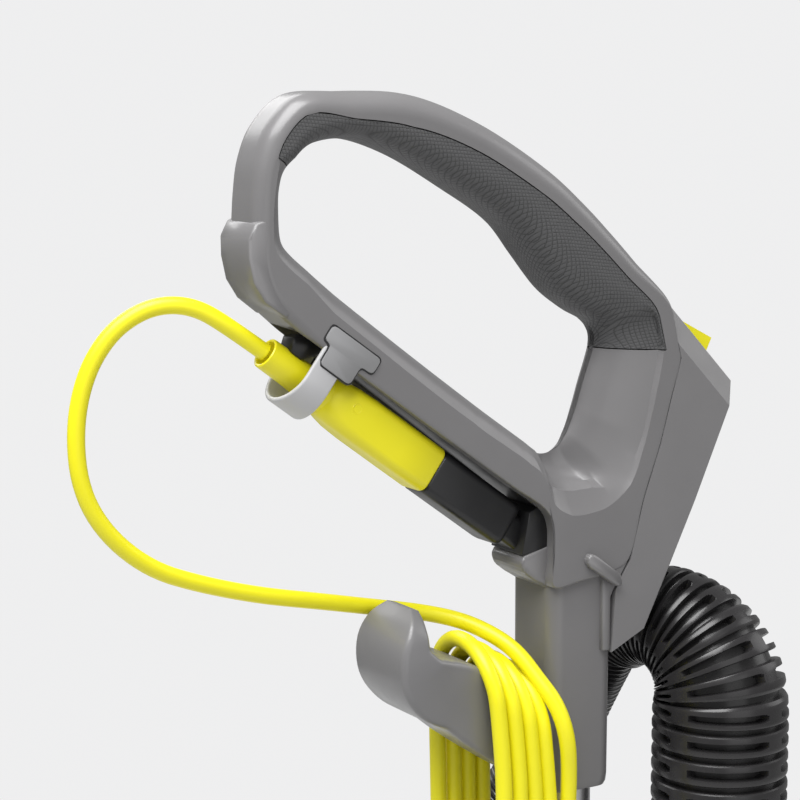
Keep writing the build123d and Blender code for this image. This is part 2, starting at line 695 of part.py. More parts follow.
HANK_EDGES = [48.0, 55.0, 61.5, 68.0, 75.0, 82.0]   # where one turn of the hank gives way to the next
HANK_IN, HANK_OUT = 21.0, 29.0
HANK_LOW = LOWER_HOOK - 14.5 + HANK_IN
HANK_TOPS = [886.0, 890.3, 894.7, 899.3, 903.4]     # centre of each turn's upper bend

with BuildPart() as cord_hank:
    for front, back, high in zip(HANK_EDGES, HANK_EDGES[1:], HANK_TOPS):
        with BuildSketch(Plane.XZ.offset(-front)):
            for r, mode in ((HANK_OUT, Mode.ADD), (HANK_IN, Mode.SUBTRACT)):
                with Locations((0, HANK_LOW), (0, high)):
                    Circle(r, mode=mode)
                with Locations((0, (HANK_LOW + high) / 2)):
                    Rectangle(2 * r, high - HANK_LOW, mode=mode)
        extrude(amount=front - back)
finish(cord_hank.part, "cord_hank")

TAIL = (-12.0, 76.0)
with BuildPart() as cord_tail:
    with BuildSketch(Plane.XY.offset(285)):
        with Locations(TAIL):
            Circle(CORD_R)
    extrude(amount=43)
finish(cord_tail.part, "cord_tail")

with BuildPart() as mains_plug:
    with BuildSketch(Plane.XY.offset(285)):
        with Locations(TAIL):
            Circle(5.5)
    with BuildSketch(Plane.XY.offset(262)):
        with Locations(TAIL):
            Circle(9)
    loft()
    with BuildSketch(Plane.XY.offset(226)):
        with Locations(TAIL):
            Circle(18)
    with BuildSketch(Plane.XY.offset(262)):
        with Locations(TAIL):
            Circle(14)
    loft()
finish(mains_plug.part, "mains_plug")

with BuildPart() as plug_pins:
    with BuildSketch(Plane.XY.offset(207)):
        with Locations(TAIL):
            with GridLocations(19, 0, 2, 1):
                Circle(2.4)
    extrude(amount=19)
finish(plug_pins.part, "plug_pins")

with BuildPart() as cord_tie:
    with BuildSketch(Plane.XY.offset(600)):
        with Locations((-(HANK_IN + HANK_OUT) / 2, (HANK_EDGES[0] + HANK_EDGES[-1]) / 2)):
            Rectangle(HANK_OUT - HANK_IN + 4, HANK_EDGES[-1] - HANK_EDGES[0] + 4)
            Rectangle(HANK_OUT - HANK_IN, HANK_EDGES[-1] - HANK_EDGES[0], mode=Mode.SUBTRACT)
    extrude(amount=20)
finish(cord_tie.part, "cord_tie")

# ---- brush head ---------------------------------------------------------------------------------------
PLATE_LOW, PLATE_TOP = 9.0, 13.0
SHELL_HALF, SHELL_NOSE, SHELL_BACK = 150.0, -188.0, 46.0
COVER_WALL = 3.0
MOTOR_X, BELT_X = (-96.0, -20.0), (-120.0, -106.0)
TOWER = (58.5, 72.0)
ARM = (96.0, 124.0)
PEDAL = (24.0, 58.0)
KNOB = (106.0, -84.0)
KNOB_LOW = 90.0


def footprint(z, inset):
    """The rounded outline of the brush head from above, drawn inward by an inset."""
    with BuildSketch(Plane.XY.offset(z)) as outline:
        with Locations((0, (SHELL_NOSE + 72) / 2)):
            RectangleRounded(2 * (SHELL_HALF - inset), 72 - SHELL_NOSE - 2 * inset, 28 - inset)
    return outline


with BuildPart() as base_chassis:
    add(footprint(PLATE_LOW, COVER_WALL + 0.5).sketch)
    extrude(amount=PLATE_TOP - PLATE_LOW)
    with Locations((0, 100, 0)):
        Box(400, 2 * (100 - 30), 60, mode=Mode.SUBTRACT)
    with Locations((0, ROLLER[0], 0)):
        Box(256, 51, 60, mode=Mode.SUBTRACT)
    for side in SIDES:
        with Locations((side * (ARM[1] + 2), 2, 0)):
            Box(40, 80, 60, align=(Align.MIN if side > 0 else Align.MAX, Align.MIN, Align.CENTER),
                mode=Mode.SUBTRACT)
        with Locations((side * (TOWER[0] + TOWER[1]) / 2, PIVOT[0], PLATE_LOW)):
            Box(TOWER[1] - TOWER[0], 52, 92 - PLATE_LOW, align=(Align.CENTER, Align.CENTER, Align.MIN))
        with Locations((side * (ARM[0] + ARM[1]) / 2, 34, PLATE_LOW)):
            Box(ARM[1] - ARM[0], 44, 50 - PLATE_LOW, align=(Align.CENTER, Align.CENTER, Align.MIN))
        with Locations((side * 60, CASTER[0], 5)):
            Box(34, 34, 15, align=(Align.CENTER, Align.CENTER, Align.MIN))
            Box(26, 40, 15, align=(Align.CENTER, Align.CENTER, Align.MIN), mode=Mode.SUBTRACT)
        with Locations((side * 130.5, ROLLER[0], PLATE_LOW)):
            Box(7, 46, 36, align=(Align.CENTER, Align.CENTER, Align.MIN))
    with Locations((0, -125, PLATE_TOP)):
        Box(250, 3, 50, align=(Align.CENTER, Align.CENTER, Align.MIN))
    with Locations((MOTOR_X[1] - 12, BRUSH_MOTOR[0], PLATE_TOP)):
        Box(22, 40, 20, align=(Align.CENTER, Align.CENTER, Align.MIN))
    with BuildSketch(Plane.YZ):
        with Locations(BRUSH_MOTOR):
            Circle(22)
    extrude(amount=-100, mode=Mode.SUBTRACT)
    for centre, r in ((PIVOT, PIN_R), (WHEEL, 4), (ROLLER, 12), (CASTER, 3)):
        with BuildSketch(Plane.YZ):
            with Locations(centre):
                Circle(r)
        extrude(amount=160, both=True, mode=Mode.SUBTRACT)
    with BuildSketch(Plane.XZ.offset(100)):
        with Locations((40, 40)):
            Circle(17)
        with Locations(((BELT_X[0] + BELT_X[1]) / 2, 40)):
            Rectangle(18, 50)
    extrude(amount=40, mode=Mode.SUBTRACT)
    with BuildSketch(Plane.YZ.offset(-ARM[0])):
        with Locations(PEDAL):
            Circle(3)
    extrude(amount=ARM[0] - TOWER[1])
    for side in SIDES:
        with Locations((side * (ARM[0] + ARM[1]) / 2, PEDAL[0], 50)):
            Box(ARM[1] - ARM[0], 16, 14, align=(Align.CENTER, Align.CENTER, Align.MIN))
finish(base_chassis.part, "base_chassis")

SHELL_SIDE = [(SHELL_NOSE, 13), (SHELL_NOSE, 34), (-178, 54), (-120, 84), (-40, 92), (SHELL_BACK, 74),
              (SHELL_BACK, 13)]
SHELL_INSIDE = [(-185, 12), (-185, 33), (-176, 51.5), (-119, 81), (-40, 89), (60, 68), (60, 12)]


def cover_layer(points, inset):
    """The block inside the cover's outer or inner skin: its side outline cut to its outline from above."""
    with BuildPart() as layer:
        with BuildSketch(Plane.YZ):
            with BuildLine():
                Polyline(*points, close=True)
            make_face()
        extrude(amount=SHELL_HALF - inset, both=True)
        add(footprint(0, inset).sketch)
        extrude(amount=120, mode=Mode.INTERSECT)
    return layer


WHEEL_BAY = (ARM[1] + 2, 4.0)        # x and y beyond which the wheels take up the cover's corners
with BuildPart() as base_cover:
    add(cover_layer(SHELL_SIDE, 0).part)
    upper_faces = base_cover.faces().filter_by(lambda f: f.center().Z > 60)
    fillet(upper_faces.edges().filter_by(Axis.X, reverse=True), 6)
    with BuildSketch(Plane.XY.offset(70)):
        with Locations(KNOB):
            Circle(23)
    extrude(amount=KNOB_LOW - 0.5 - 70)
    add(cover_layer(SHELL_INSIDE, COVER_WALL).part, mode=Mode.SUBTRACT)
    with Locations((0, 40, 0)):
        Box(2 * (TOWER[1] + 1), 2 * 78, 200, mode=Mode.SUBTRACT)
    for side in SIDES:
        with Locations((side * WHEEL_BAY[0], WHEEL_BAY[1], 0)):
            Box(40, 80, 200, align=(Align.MIN if side > 0 else Align.MAX, Align.MIN, Align.CENTER),
                mode=Mode.SUBTRACT)
    with Locations((-86, 40, 60)):
        Box(20, 60, 80, mode=Mode.SUBTRACT)
    with BuildSketch(Plane.XY.offset(60)):
        with Locations(KNOB):
            Circle(4 + FIT)
    extrude(amount=60, mode=Mode.SUBTRACT)
finish(base_cover.part, "base_cover")

with BuildPart() as bumper:
    with BuildSketch(Plane.XY.offset(18)):
        with Locations((0, (76 - REACH) / 2)):
            RectangleRounded(2 * BASE_HALF, 76 + REACH, 32)
        with Locations((0, (SHELL_NOSE + 72) / 2)):
            RectangleRounded(2 * SHELL_HALF, 72 - SHELL_NOSE, 28, mode=Mode.SUBTRACT)
        with Locations((0, 40)):
            Rectangle(400, 200, mode=Mode.SUBTRACT)
    extrude(amount=16)
finish(bumper.part, "bumper")

with BuildPart() as pivot_pins:
    for side in SIDES:
        with BuildSketch(Plane.YZ.offset(side * (YOKE_IN + 2))):
            with Locations(PIVOT):
                Circle(PIN_R)
        extrude(amount=side * (TOWER[1] - YOKE_IN - 2))
finish(pivot_pins.part, "pivot_pins")

with BuildPart() as air_duct:
    with BuildSketch(Plane.XZ.offset(126.5)):
        with Locations((40, 40)):
            Circle(17)
            Circle(15, mode=Mode.SUBTRACT)
    extrude(amount=-76)
finish(air_duct.part, "air_duct")

with BuildPart() as brush_motor:
    with BuildSketch(Plane.YZ.offset(MOTOR_X[0])):
        with Locations(BRUSH_MOTOR):
            Circle(22)
            Circle(4 + FIT, mode=Mode.SUBTRACT)
    extrude(amount=MOTOR_X[1] - MOTOR_X[0])
finish(brush_motor.part, "brush_motor")

with BuildPart() as motor_pulley:
    with BuildSketch(Plane.YZ.offset(BELT_X[0])):
        with Locations(BRUSH_MOTOR):
            Circle(PULLEY_R)
    extrude(amount=BELT_X[1] - BELT_X[0])
    with BuildSketch(Plane.YZ.offset(BELT_X[1])):
        with Locations(BRUSH_MOTOR):
            Circle(4)
    extrude(amount=40)
finish(motor_pulley.part, "motor_pulley")

BELT_GAP, BELT_THICK = 0.3, 2.0


def belt_loop(extra):
    """The round-ended outline about both pulleys, outside them by an extra distance."""
    with BuildSketch(Plane.YZ.offset(BELT_X[0] + 1)) as loop:
        with BuildLine():
            CenterArc(ROLLER, ROLLER_PULLEY_R + extra, 0, 360)
            CenterArc(BRUSH_MOTOR, PULLEY_R + extra, 0, 360)
        make_hull()
    return loop


with BuildPart() as drive_belt:
    add(belt_loop(BELT_GAP + BELT_THICK).sketch)
    extrude(amount=BELT_X[1] - BELT_X[0] - 2, dir=(1, 0, 0))
    add(belt_loop(BELT_GAP).sketch)
    extrude(amount=BELT_X[1] - BELT_X[0] - 2, dir=(1, 0, 0), mode=Mode.SUBTRACT)
finish(drive_belt.part, "drive_belt")

with BuildPart() as brush_roller:
    for low, high, r in ((-134, 134, 5), (BELT_X[0], BELT_X[1], ROLLER_PULLEY_R), (BELT_X[1], 124, ROLLER_R)):
        with BuildSketch(Plane.YZ.offset(low)):
            with Locations(ROLLER):
                Circle(r)
        extrude(amount=high - low)
finish(brush_roller.part, "brush_roller")

ROWS, TUFT_TWIST = 4, 50.0
with BuildPart() as brush_bristles:
    for row in range(ROWS):
        for step in range(10):
            angle = row * 360 / ROWS + step * TUFT_TWIST / 10
            with BuildSketch(Plane.YZ.offset(-100 + step * 22)):
                with Locations(ROLLER):
                    with PolarLocations((ROLLER_R + BRISTLE_R) / 2 - 0.2, 1, start_angle=angle):
                        Rectangle(BRISTLE_R - ROLLER_R, 4)
            extrude(amount=16)
finish(brush_bristles.part, "brush_bristles")

with BuildPart() as roller_bearings:
    for side in SIDES:
        with BuildSketch(Plane.YZ.offset(side * 127)):
            with Locations(ROLLER):
                Circle(12)
                Circle(5 + FIT, mode=Mode.SUBTRACT)
        extrude(amount=side * 7)
finish(roller_bearings.part, "roller_bearings")

HUB_R, WHEEL_X = 29.0, (129.0, 147.0)
for side, name in ((1, "right"), (-1, "left")):
    with BuildPart() as wheel:
        with BuildSketch(Plane.YZ.offset(side * WHEEL_X[0])):
            with Locations(WHEEL):
                Circle(HUB_R)
        extrude(amount=side * (WHEEL_X[1] - WHEEL_X[0]))
        with BuildSketch(Plane.YZ.offset(side * WHEEL_X[0])):
            with Locations(WHEEL):
                Circle(4 + FIT)
                with PolarLocations(18, 5):
                    Circle(6)
        extrude(amount=side * (WHEEL_X[1] - WHEEL_X[0] - 5), mode=Mode.SUBTRACT)
    finish(wheel.part, f"wheel_{name}")
    with BuildPart() as tyre:
        with BuildSketch(Plane.YZ.offset(side * (WHEEL_X[0] - 1))):
            with Locations(WHEEL):
                Circle(WHEEL_R)
                Circle(HUB_R, mode=Mode.SUBTRACT)
        extrude(amount=side * (WHEEL_X[1] - WHEEL_X[0] + 2))
        fillet(tyre.edges().filter_by(GeomType.CIRCLE).filter_by(lambda e: e.radius > HUB_R + 1), 3)
    finish(tyre.part, f"tyre_{name}")
    with BuildPart() as caster:
        with BuildSketch(Plane.YZ.offset(side * 48)):
            with Locations(CASTER):
                Circle(CASTER_R)
                Circle(3 + FIT, mode=Mode.SUBTRACT)
        extrude(amount=side * 24)
    finish(caster.part, f"front_roller_{name}")

with BuildPart() as axles:
    for side in SIDES:
        for centre, low, high, r in ((WHEEL, ARM[0], WHEEL_X[1] - 6, 4), (CASTER, 43, 77, 3)):
            with BuildSketch(Plane.YZ.offset(side * low)):
                with Locations(centre):
                    Circle(r)
            extrude(amount=side * (high - low))
finish(axles.part, "axles")

with BuildPart() as tilt_pedal:
    with BuildSketch(Plane.YZ.offset(-93)):
        with BuildLine():
            Polyline((18, 52), (26, 52), (64, 50), (80, 50), (80, 55), (64, 56), (30, 63), (18, 64), close=True)
        make_face()
        with Locations(PEDAL):
            Circle(3 + FIT, mode=Mode.SUBTRACT)
    extrude(amount=14)
    with Locations((-86, 71, 52.5)):
        Box(34, 18, 5)
finish(tilt_pedal.part, "tilt_pedal")

with BuildPart() as height_knob:
    with BuildSketch(Plane.XY.offset(KNOB_LOW)):
        with Locations(KNOB):
            Circle(20)
    extrude(amount=11)
    with BuildSketch(Plane.XY.offset(KNOB_LOW + 5)):
        with Locations(KNOB):
            with PolarLocations(20.5, 16):
                Circle(1.6)
    extrude(amount=8, mode=Mode.SUBTRACT)
    with BuildSketch(Plane.XY.offset(KNOB_LOW - 14)):
        with Locations(KNOB):
            Circle(4)
    extrude(amount=14)
finish(height_knob.part, "height_knob")
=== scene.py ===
import math

import bmesh
import bpy
import numpy as np
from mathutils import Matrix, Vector


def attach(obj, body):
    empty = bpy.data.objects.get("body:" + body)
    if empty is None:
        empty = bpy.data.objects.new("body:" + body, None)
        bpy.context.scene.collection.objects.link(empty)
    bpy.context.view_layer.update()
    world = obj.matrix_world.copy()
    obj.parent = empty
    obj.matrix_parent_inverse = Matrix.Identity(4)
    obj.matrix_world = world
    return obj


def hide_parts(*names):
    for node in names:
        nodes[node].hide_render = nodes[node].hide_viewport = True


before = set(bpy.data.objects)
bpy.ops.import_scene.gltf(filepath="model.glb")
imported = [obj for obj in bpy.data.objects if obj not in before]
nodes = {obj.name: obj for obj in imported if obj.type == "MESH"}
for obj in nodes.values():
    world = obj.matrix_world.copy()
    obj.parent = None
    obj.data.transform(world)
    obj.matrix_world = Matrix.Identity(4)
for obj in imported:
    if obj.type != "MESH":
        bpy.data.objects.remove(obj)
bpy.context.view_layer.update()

MM = 0.001


# ---- camera -------------------------------------------------------------------------------------------
CAMERA_AZ, CAMERA_EL = math.radians(30), math.radians(8)
CAMERA_AT = Vector((0, 0.113, 1.041))
CAMERA_DISTANCE = 0.966

camera = bpy.data.objects.new("camera", bpy.data.cameras.new("camera"))
bpy.context.scene.collection.objects.link(camera)
camera.data.lens, camera.data.sensor_width = 100, 36
camera.data.clip_start, camera.data.clip_end = 0.05, 60
towards = Vector((-math.cos(CAMERA_EL) * math.cos(CAMERA_AZ), math.cos(CAMERA_EL) * math.sin(CAMERA_AZ),
                  math.sin(CAMERA_EL)))
camera.location = CAMERA_AT + towards * CAMERA_DISTANCE
camera.rotation_euler = (-towards).to_track_quat("-Z", "Y").to_euler()
bpy.context.scene.camera = camera
bpy.context.scene.view_settings.view_transform = "Standard"


# ---- mesh helpers -------------------------------------------------------------------------------------
def link(obj):
    bpy.context.scene.collection.objects.link(obj)
    return obj


def mesh_piece(name, verts, faces, material=None, smooth=True, sharp=40):
    """A mesh object from points in millimetres, shaded smooth up to a sharp angle in degrees."""
    mesh = bpy.data.meshes.new(name)
    mesh.from_pydata([[c * MM for c in v] for v in verts], [], [list(map(int, f)) for f in faces])
    mesh.validate()
    work = bmesh.new()
    work.from_mesh(mesh)
    bmesh.ops.remove_doubles(work, verts=work.verts, dist=1e-6)
    bmesh.ops.recalc_face_normals(work, faces=work.faces)
    work.to_mesh(mesh)
    work.free()
    if smooth:
        mesh.shade_smooth()
        mesh.set_sharp_from_angle(angle=math.radians(sharp))
    obj = link(bpy.data.objects.new(name, mesh))
    if material:
        mesh.materials.append(material)
    return obj


def grid_faces(rows, cols, close_rows=False, close_cols=False):
    """Quads between neighbouring points of a rows x cols grid."""
    faces = []
    for i in range(rows if close_rows else rows - 1):
        for j in range(cols if close_cols else cols - 1):
            a, b = i * cols + j, i * cols + (j + 1) % cols
            c, d = ((i + 1) % rows) * cols + (j + 1) % cols, ((i + 1) % rows) * cols + j
            faces.append((a, b, c, d))
    return faces


def add_bevel(obj, width=0.6, segments=3, angle=32):
    """Rounds an object's edges with a modifier, width in millimetres."""
    bevel = obj.modifiers.new("rounding", "BEVEL")
    bevel.width, bevel.segments = width * MM, segments
    bevel.limit_method, bevel.angle_limit = "ANGLE", math.radians(angle)
    bevel.harden_normals = True
    bevel.use_clamp_overlap = True
    return bevel


def plate(name, outline, x0, x1, material, bevel=0.8, segments=3):
    """An outline of (y, z) points in millimetres pulled from x0 to x1, with rounded edges."""
    count = len(outline)
    verts = [(x, y, z) for x in (x0, x1) for y, z in outline]
    faces = [tuple(range(count)), tuple(range(2 * count - 1, count - 1, -1))]
    faces += [(i, (i + 1) % count, count + (i + 1) % count, count + i) for i in range(count)]
    obj = mesh_piece(name, verts, faces, material, smooth=False)
    bake_bevel(obj, bevel, segments)
    return obj


def bake_bevel(obj, width, segments=3, angle=25):
    """Rounds an object's edges in its mesh and shades it smooth."""
    if width:
        add_bevel(obj, width, segments, angle)
        settle(obj)
    obj.data.shade_smooth()
    obj.data.set_sharp_from_angle(angle=math.radians(40))


def settle(obj):
    """Applies an object's modifiers."""
    graph = bpy.context.evaluated_depsgraph_get()
    mesh = bpy.data.meshes.new_from_object(obj.evaluated_get(graph), depsgraph=graph)
    obj.modifiers.clear()
    obj.data = mesh


def rounded_rect(half_x, half_y, r, steps=5):
    """Points round a rounded rectangle, anticlockwise."""
    points = []
    for k, (cx, cy) in enumerate(((1, 1), (-1, 1), (-1, -1), (1, -1))):
        for s in range(steps + 1):
            a = math.radians(90 * k + 90 * s / steps)
            points.append((cx * (half_x - r) + r * math.cos(a), cy * (half_y - r) + r * math.sin(a)))
    return points


def loft_rings(name, rings, material, close_ends=True, sharp=40):
    """A skin over rings of points that all have the same count."""
    count = len(rings[0])
    verts = [p for ring in rings for p in ring]
    faces = grid_faces(len(rings), count, close_cols=True)
    if close_ends:
        faces += [tuple(range(count - 1, -1, -1)), tuple(range((len(rings) - 1) * count, len(rings) * count))]
    return mesh_piece(name, verts, faces, material, sharp=sharp)


def slopes(p0, p1, p2, p3, t1, t2, t3):
    """The slopes at p1 and p2 of the smooth curve through four points, for the knot spans given."""
    return ((p2 - p1) + t2 * ((p1 - p0) / t1 - (p2 - p0) / (t1 + t2)),
            (p2 - p1) + t2 * ((p3 - p2) / t3 - (p3 - p1) / (t2 + t3)))


def between(t, p1, p2, m1, m2):
    """The point at t, from 0 to 1, on the curve from p1 to p2 with slopes m1 and m2."""
    return ((2 * t**3 - 3 * t**2 + 1) * p1 + (t**3 - 2 * t**2 + t) * m1
            + (-2 * t**3 + 3 * t**2) * p2 + (t**3 - t**2) * m2)


def spline(points, count):
    """Points along a smooth open curve through the points given, evenly spaced by arc length."""
    pts = np.array(points, float)
    last = len(pts) - 1
    fine = []
    for i in range(last):
        four = [pts[min(max(k, 0), last)] for k in (i - 1, i, i + 1, i + 2)]
        spans = [max(np.linalg.norm(b - a), 1e-9) ** 0.5 for a, b in zip(four, four[1:])]
        m1, m2 = slopes(*four, *spans)
        straight = four[2] - four[1]
        m1, m2 = straight if i == 0 else m1, straight if i == last - 1 else m2
        fine += [between(t, four[1], four[2], m1, m2) for t in np.linspace(0, 1, 24, endpoint=False)]
    fine.append(pts[-1])
    return resample(np.array(fine), count)


def resample(line, count):
    """The same line as count points, evenly spaced."""
    length = arc_length(line)
    at = np.linspace(0, length[-1], count)
    return np.stack([np.interp(at, length, line[:, k]) for k in range(line.shape[1])], axis=1)


def arc_length(line):
    """The length along a line at each of its points."""
    return np.concatenate([[0], np.cumsum(np.linalg.norm(np.diff(line, axis=0), axis=1))])


# ---- materials ----------------------------------------------------------------------------------------
class Look:
    """A material with a Principled shader, built up node by node in object space."""

    def __init__(self, name, color, roughness, metallic=0.0, coat=0.0, specular=0.5):
        self.material = bpy.data.materials.new(name)
        self.material.use_nodes = True
        self.tree = self.material.node_tree
        self.shader = self.tree.nodes["Principled BSDF"]
        self.shader.inputs["Base Color"].default_value = (*color, 1)
        self.shader.inputs["Roughness"].default_value = roughness
        self.shader.inputs["Metallic"].default_value = metallic
        self.shader.inputs["Coat Weight"].default_value = coat
        self.shader.inputs["Coat Roughness"].default_value = 0.16
        self.shader.inputs["Specular IOR Level"].default_value = specular
        self.where = self.node("ShaderNodeTexCoord").outputs["Object"]
        self.color, self.height = color, None

    def node(self, kind, **settings):
        made = self.tree.nodes.new(kind)
        for key, value in settings.items():
            setattr(made, key, value)
        return made

    def plug(self, output, node, name):
        self.tree.links.new(output, node.inputs[name])

    def noise(self, scale, detail=3, stretch=None):
        where = self.where
        if stretch:
            mapping = self.node("ShaderNodeMapping")
            mapping.inputs["Scale"].default_value = stretch
            self.plug(where, mapping, "Vector")
            where = mapping.outputs["Vector"]
        noise = self.node("ShaderNodeTexNoise")
        noise.inputs["Scale"].default_value = scale
        noise.inputs["Detail"].default_value = detail
        noise.inputs["Roughness"].default_value = 0.55
        self.plug(where, noise, "Vector")
        return noise.outputs["Fac"]

    def ramp(self, fac, stops):
        ramp = self.node("ShaderNodeValToRGB")
        while len(ramp.color_ramp.elements) < len(stops):
            ramp.color_ramp.elements.new(0.5)
        for element, (at, color) in zip(ramp.color_ramp.elements, stops):
            element.position = at
            element.color = (*color, 1) if len(color) == 3 else color
        self.plug(fac, ramp, "Fac")
        return ramp.outputs["Color"]

    def vary(self, scale, amount, detail=3, stretch=None):
        """The base colour drifts darker and lighter with a soft noise."""
        dark = tuple(c * (1 - amount) for c in self.color)
        light = tuple(min(1, c * (1 + amount)) for c in self.color)
        self.plug(self.ramp(self.noise(scale, detail, stretch), [(0.3, dark), (0.7, light)]),
                  self.shader, "Base Color")
        return self

    def rough(self, scale, low, high, stretch=None):
        shade = self.ramp(self.noise(scale, 4, stretch), [(0.3, (low,) * 3), (0.7, (high,) * 3)])
        self.plug(shade, self.shader, "Roughness")
        return self

    def bump(self, height, strength, distance):
        bump = self.node("ShaderNodeBump")
        bump.inputs["Strength"].default_value = strength
        bump.inputs["Distance"].default_value = distance * MM
        self.plug(height, bump, "Height")
        if self.height is not None:
            self.plug(self.height, bump, "Normal")
        self.height = bump.outputs["Normal"]
        self.plug(self.height, self.shader, "Normal")
        return self

    def grain(self, scale=2600, strength=0.25, distance=0.05, stretch=None):
        """A fine moulded texture."""
        return self.bump(self.noise(scale, 2, stretch), strength, distance)

    def math(self, operation, a, b=None, clamp=False):
        made = self.node("ShaderNodeMath", operation=operation, use_clamp=clamp)
        for k, value in enumerate((a, b)):
            if value is None:
                continue
            if isinstance(value, (int, float)):
                made.inputs[k].default_value = value
            else:
                self.tree.links.new(value, made.inputs[k])
        return made.outputs[0]

    def axes(self):
        split = self.node("ShaderNodeSeparateXYZ")
        self.plug(self.where, split, "Vector")
        return split.outputs["X"], split.outputs["Y"], split.outputs["Z"]


def plastic(name, color, roughness, drift=0.04, grain=0.2, coat=0.0, specular=0.5, grain_scale=2600):
    look = Look(name, color, roughness, coat=coat, specular=specular)
    look.vary(28, drift)
    look.rough(60, roughness - 0.05, roughness + 0.06)
    look.grain(grain_scale, grain)
    return look.material


def metal(name, color, roughness, stretch=(1, 1, 40), specular=0.5):
    look = Look(name, color, roughness, metallic=1.0, specular=specular)
    look.vary(900, 0.06, 4, stretch)
    look.rough(700, roughness - 0.06, roughness + 0.08, stretch)
    look.bump(look.noise(1500, 3, stretch), 0.12, 0.02)
    return look.material


GREY = (0.178, 0.174, 0.177)
SHELL = plastic("shell_grey", GREY, 0.36, drift=0.025, grain=0.08, coat=0.25)
COVER = plastic("cover_grey", (0.190, 0.186, 0.189), 0.40, drift=0.025, grain=0.10)
SLEEVE_LOOK = plastic("sleeve_grey", (0.185, 0.182, 0.185), 0.36, drift=0.025, grain=0.08, coat=0.25)
BODY_LOOK = plastic("body_grey", (0.20, 0.20, 0.205), 0.48, drift=0.035, grain=0.28, grain_scale=1600)
BASE_LOOK = plastic("base_grey", (0.19, 0.19, 0.195), 0.46, drift=0.035, grain=0.28, grain_scale=1600)
DOOR_LOOK = plastic("door_dark", (0.035, 0.036, 0.038), 0.34, drift=0.06, grain=0.12)
BLACK = plastic("black_plastic", (0.012, 0.012, 0.013), 0.40, drift=0.15, grain=0.22)
SOCKET_LOOK = plastic("socket_black", (0.010, 0.010, 0.011), 0.34, drift=0.1, grain=0.06)
HOSE_LOOK = plastic("hose_black", (0.022, 0.021, 0.022), 0.26, drift=0.15, grain=0.06)
YELLOW = (0.90, 0.83, 0.010)
CORD_LOOK = plastic("cord_yellow", YELLOW, 0.40, drift=0.02, grain=0.10, grain_scale=900)
PLUG_LOOK = plastic("plug_yellow", (0.86, 0.78, 0.012), 0.36, drift=0.02, grain=0.10)
ACCENT = plastic("accent_yellow", (0.85, 0.78, 0.012), 0.38, drift=0.02, grain=0.12)
CLIP_LOOK = plastic("clip_grey", (0.50, 0.50, 0.51), 0.36, drift=0.02, grain=0.08)
CLIP_PLATE_LOOK = plastic("clip_plate_grey", (0.27, 0.27, 0.275), 0.45, drift=0.03, grain=0.10)
RUBBER = plastic("rubber", (0.018, 0.018, 0.018), 0.62, drift=0.15, grain=0.3, grain_scale=1200)
TYRE = plastic("tyre_rubber", (0.03, 0.03, 0.031), 0.70, drift=0.18, grain=0.4, grain_scale=700)
ALUMINIUM = metal("aluminium", (0.72, 0.72, 0.73), 0.32)
CHROME = metal("wand_chrome", (0.80, 0.80, 0.81), 0.12)
STEEL = metal("turned_steel", (0.55, 0.55, 0.56), 0.34, stretch=(30, 1, 1))
BRASS = metal("plated_brass", (0.72, 0.58, 0.30), 0.28)
PRESSED = metal("pressed_steel", (0.42, 0.42, 0.43), 0.42, stretch=(1, 1, 6))
CAST = metal("cast_aluminium", (0.60, 0.60, 0.60), 0.50, stretch=(1, 1, 1))


def grip_look():
    """Soft black-grey rubber with a fine cross-hatch of crossing grooves, with painted shade that darkens the
    grooves against the ridges.
    """
    look = Look("soft_grip_rubber", (0.050, 0.050, 0.052), 0.52)
    look.vary(40, 0.06)
    x, y, z = look.axes()
    along = look.math("ADD", look.math("MULTIPLY", y, 0.78), look.math("MULTIPLY", z, 0.62))
    across = look.math("SUBTRACT", look.math("MULTIPLY", z, 0.78), look.math("MULTIPLY", y, 0.62))
    across = look.math("ADD", across, look.math("MULTIPLY", look.math("ABSOLUTE", x), -0.9))
    height = None
    for sign in (1, -1):
        mix = look.math("ADD", look.math("MULTIPLY", along, 0.62), look.math("MULTIPLY", across, sign * 1.0))
        wave = look.math("SINE", look.math("MULTIPLY", mix, 2 * math.pi / (3.4 * MM)))
        wave = look.math("POWER", look.math("ABSOLUTE", wave), 0.45)
        height = wave if height is None else look.math("MINIMUM", height, wave)
    look.bump(height, 0.8, 0.3)
    # painted shade: the base colour goes darker down in the grooves and lighter on the ridges
    shade = look.ramp(height, [(0.0, (0.022,) * 3), (0.75, (0.088, 0.088, 0.090))])
    look.plug(shade, look.shader, "Base Color")
    look.rough(300, 0.46, 0.58)
    return look.material


def fabric_look(name, color, scale, rough=0.9):
    """A plain weave: two crossed sets of threads with fuzz."""
    look = Look(name, color, rough)
    look.vary(scale * 0.02, 0.10)
    x, y, z = look.axes()
    warp = look.math("ABSOLUTE", look.math("SINE", look.math("MULTIPLY", look.math("ADD", x, y), scale)))
    weft = look.math("ABSOLUTE", look.math("SINE", look.math("MULTIPLY", z, scale)))
    look.bump(look.math("MAXIMUM", warp, weft), 0.7, 0.25)
    look.bump(look.noise(2500, 4), 0.3, 0.1)
    look.shader.inputs["Sheen Weight"].default_value = 0.3
    return look.material


GRIP_LOOK = grip_look()
FILTER_LOOK = fabric_look("filter_foam", (0.70, 0.70, 0.66), 1400)
BAG_LOOK = fabric_look("bag_fleece", (0.68, 0.65, 0.56), 1800)
STRAP_LOOK = fabric_look("tie_webbing", (0.02, 0.02, 0.021), 3600, 0.8)
BRISTLE_LOOK = fabric_look("bristle_nylon", (0.03, 0.03, 0.032), 6000, 0.5)


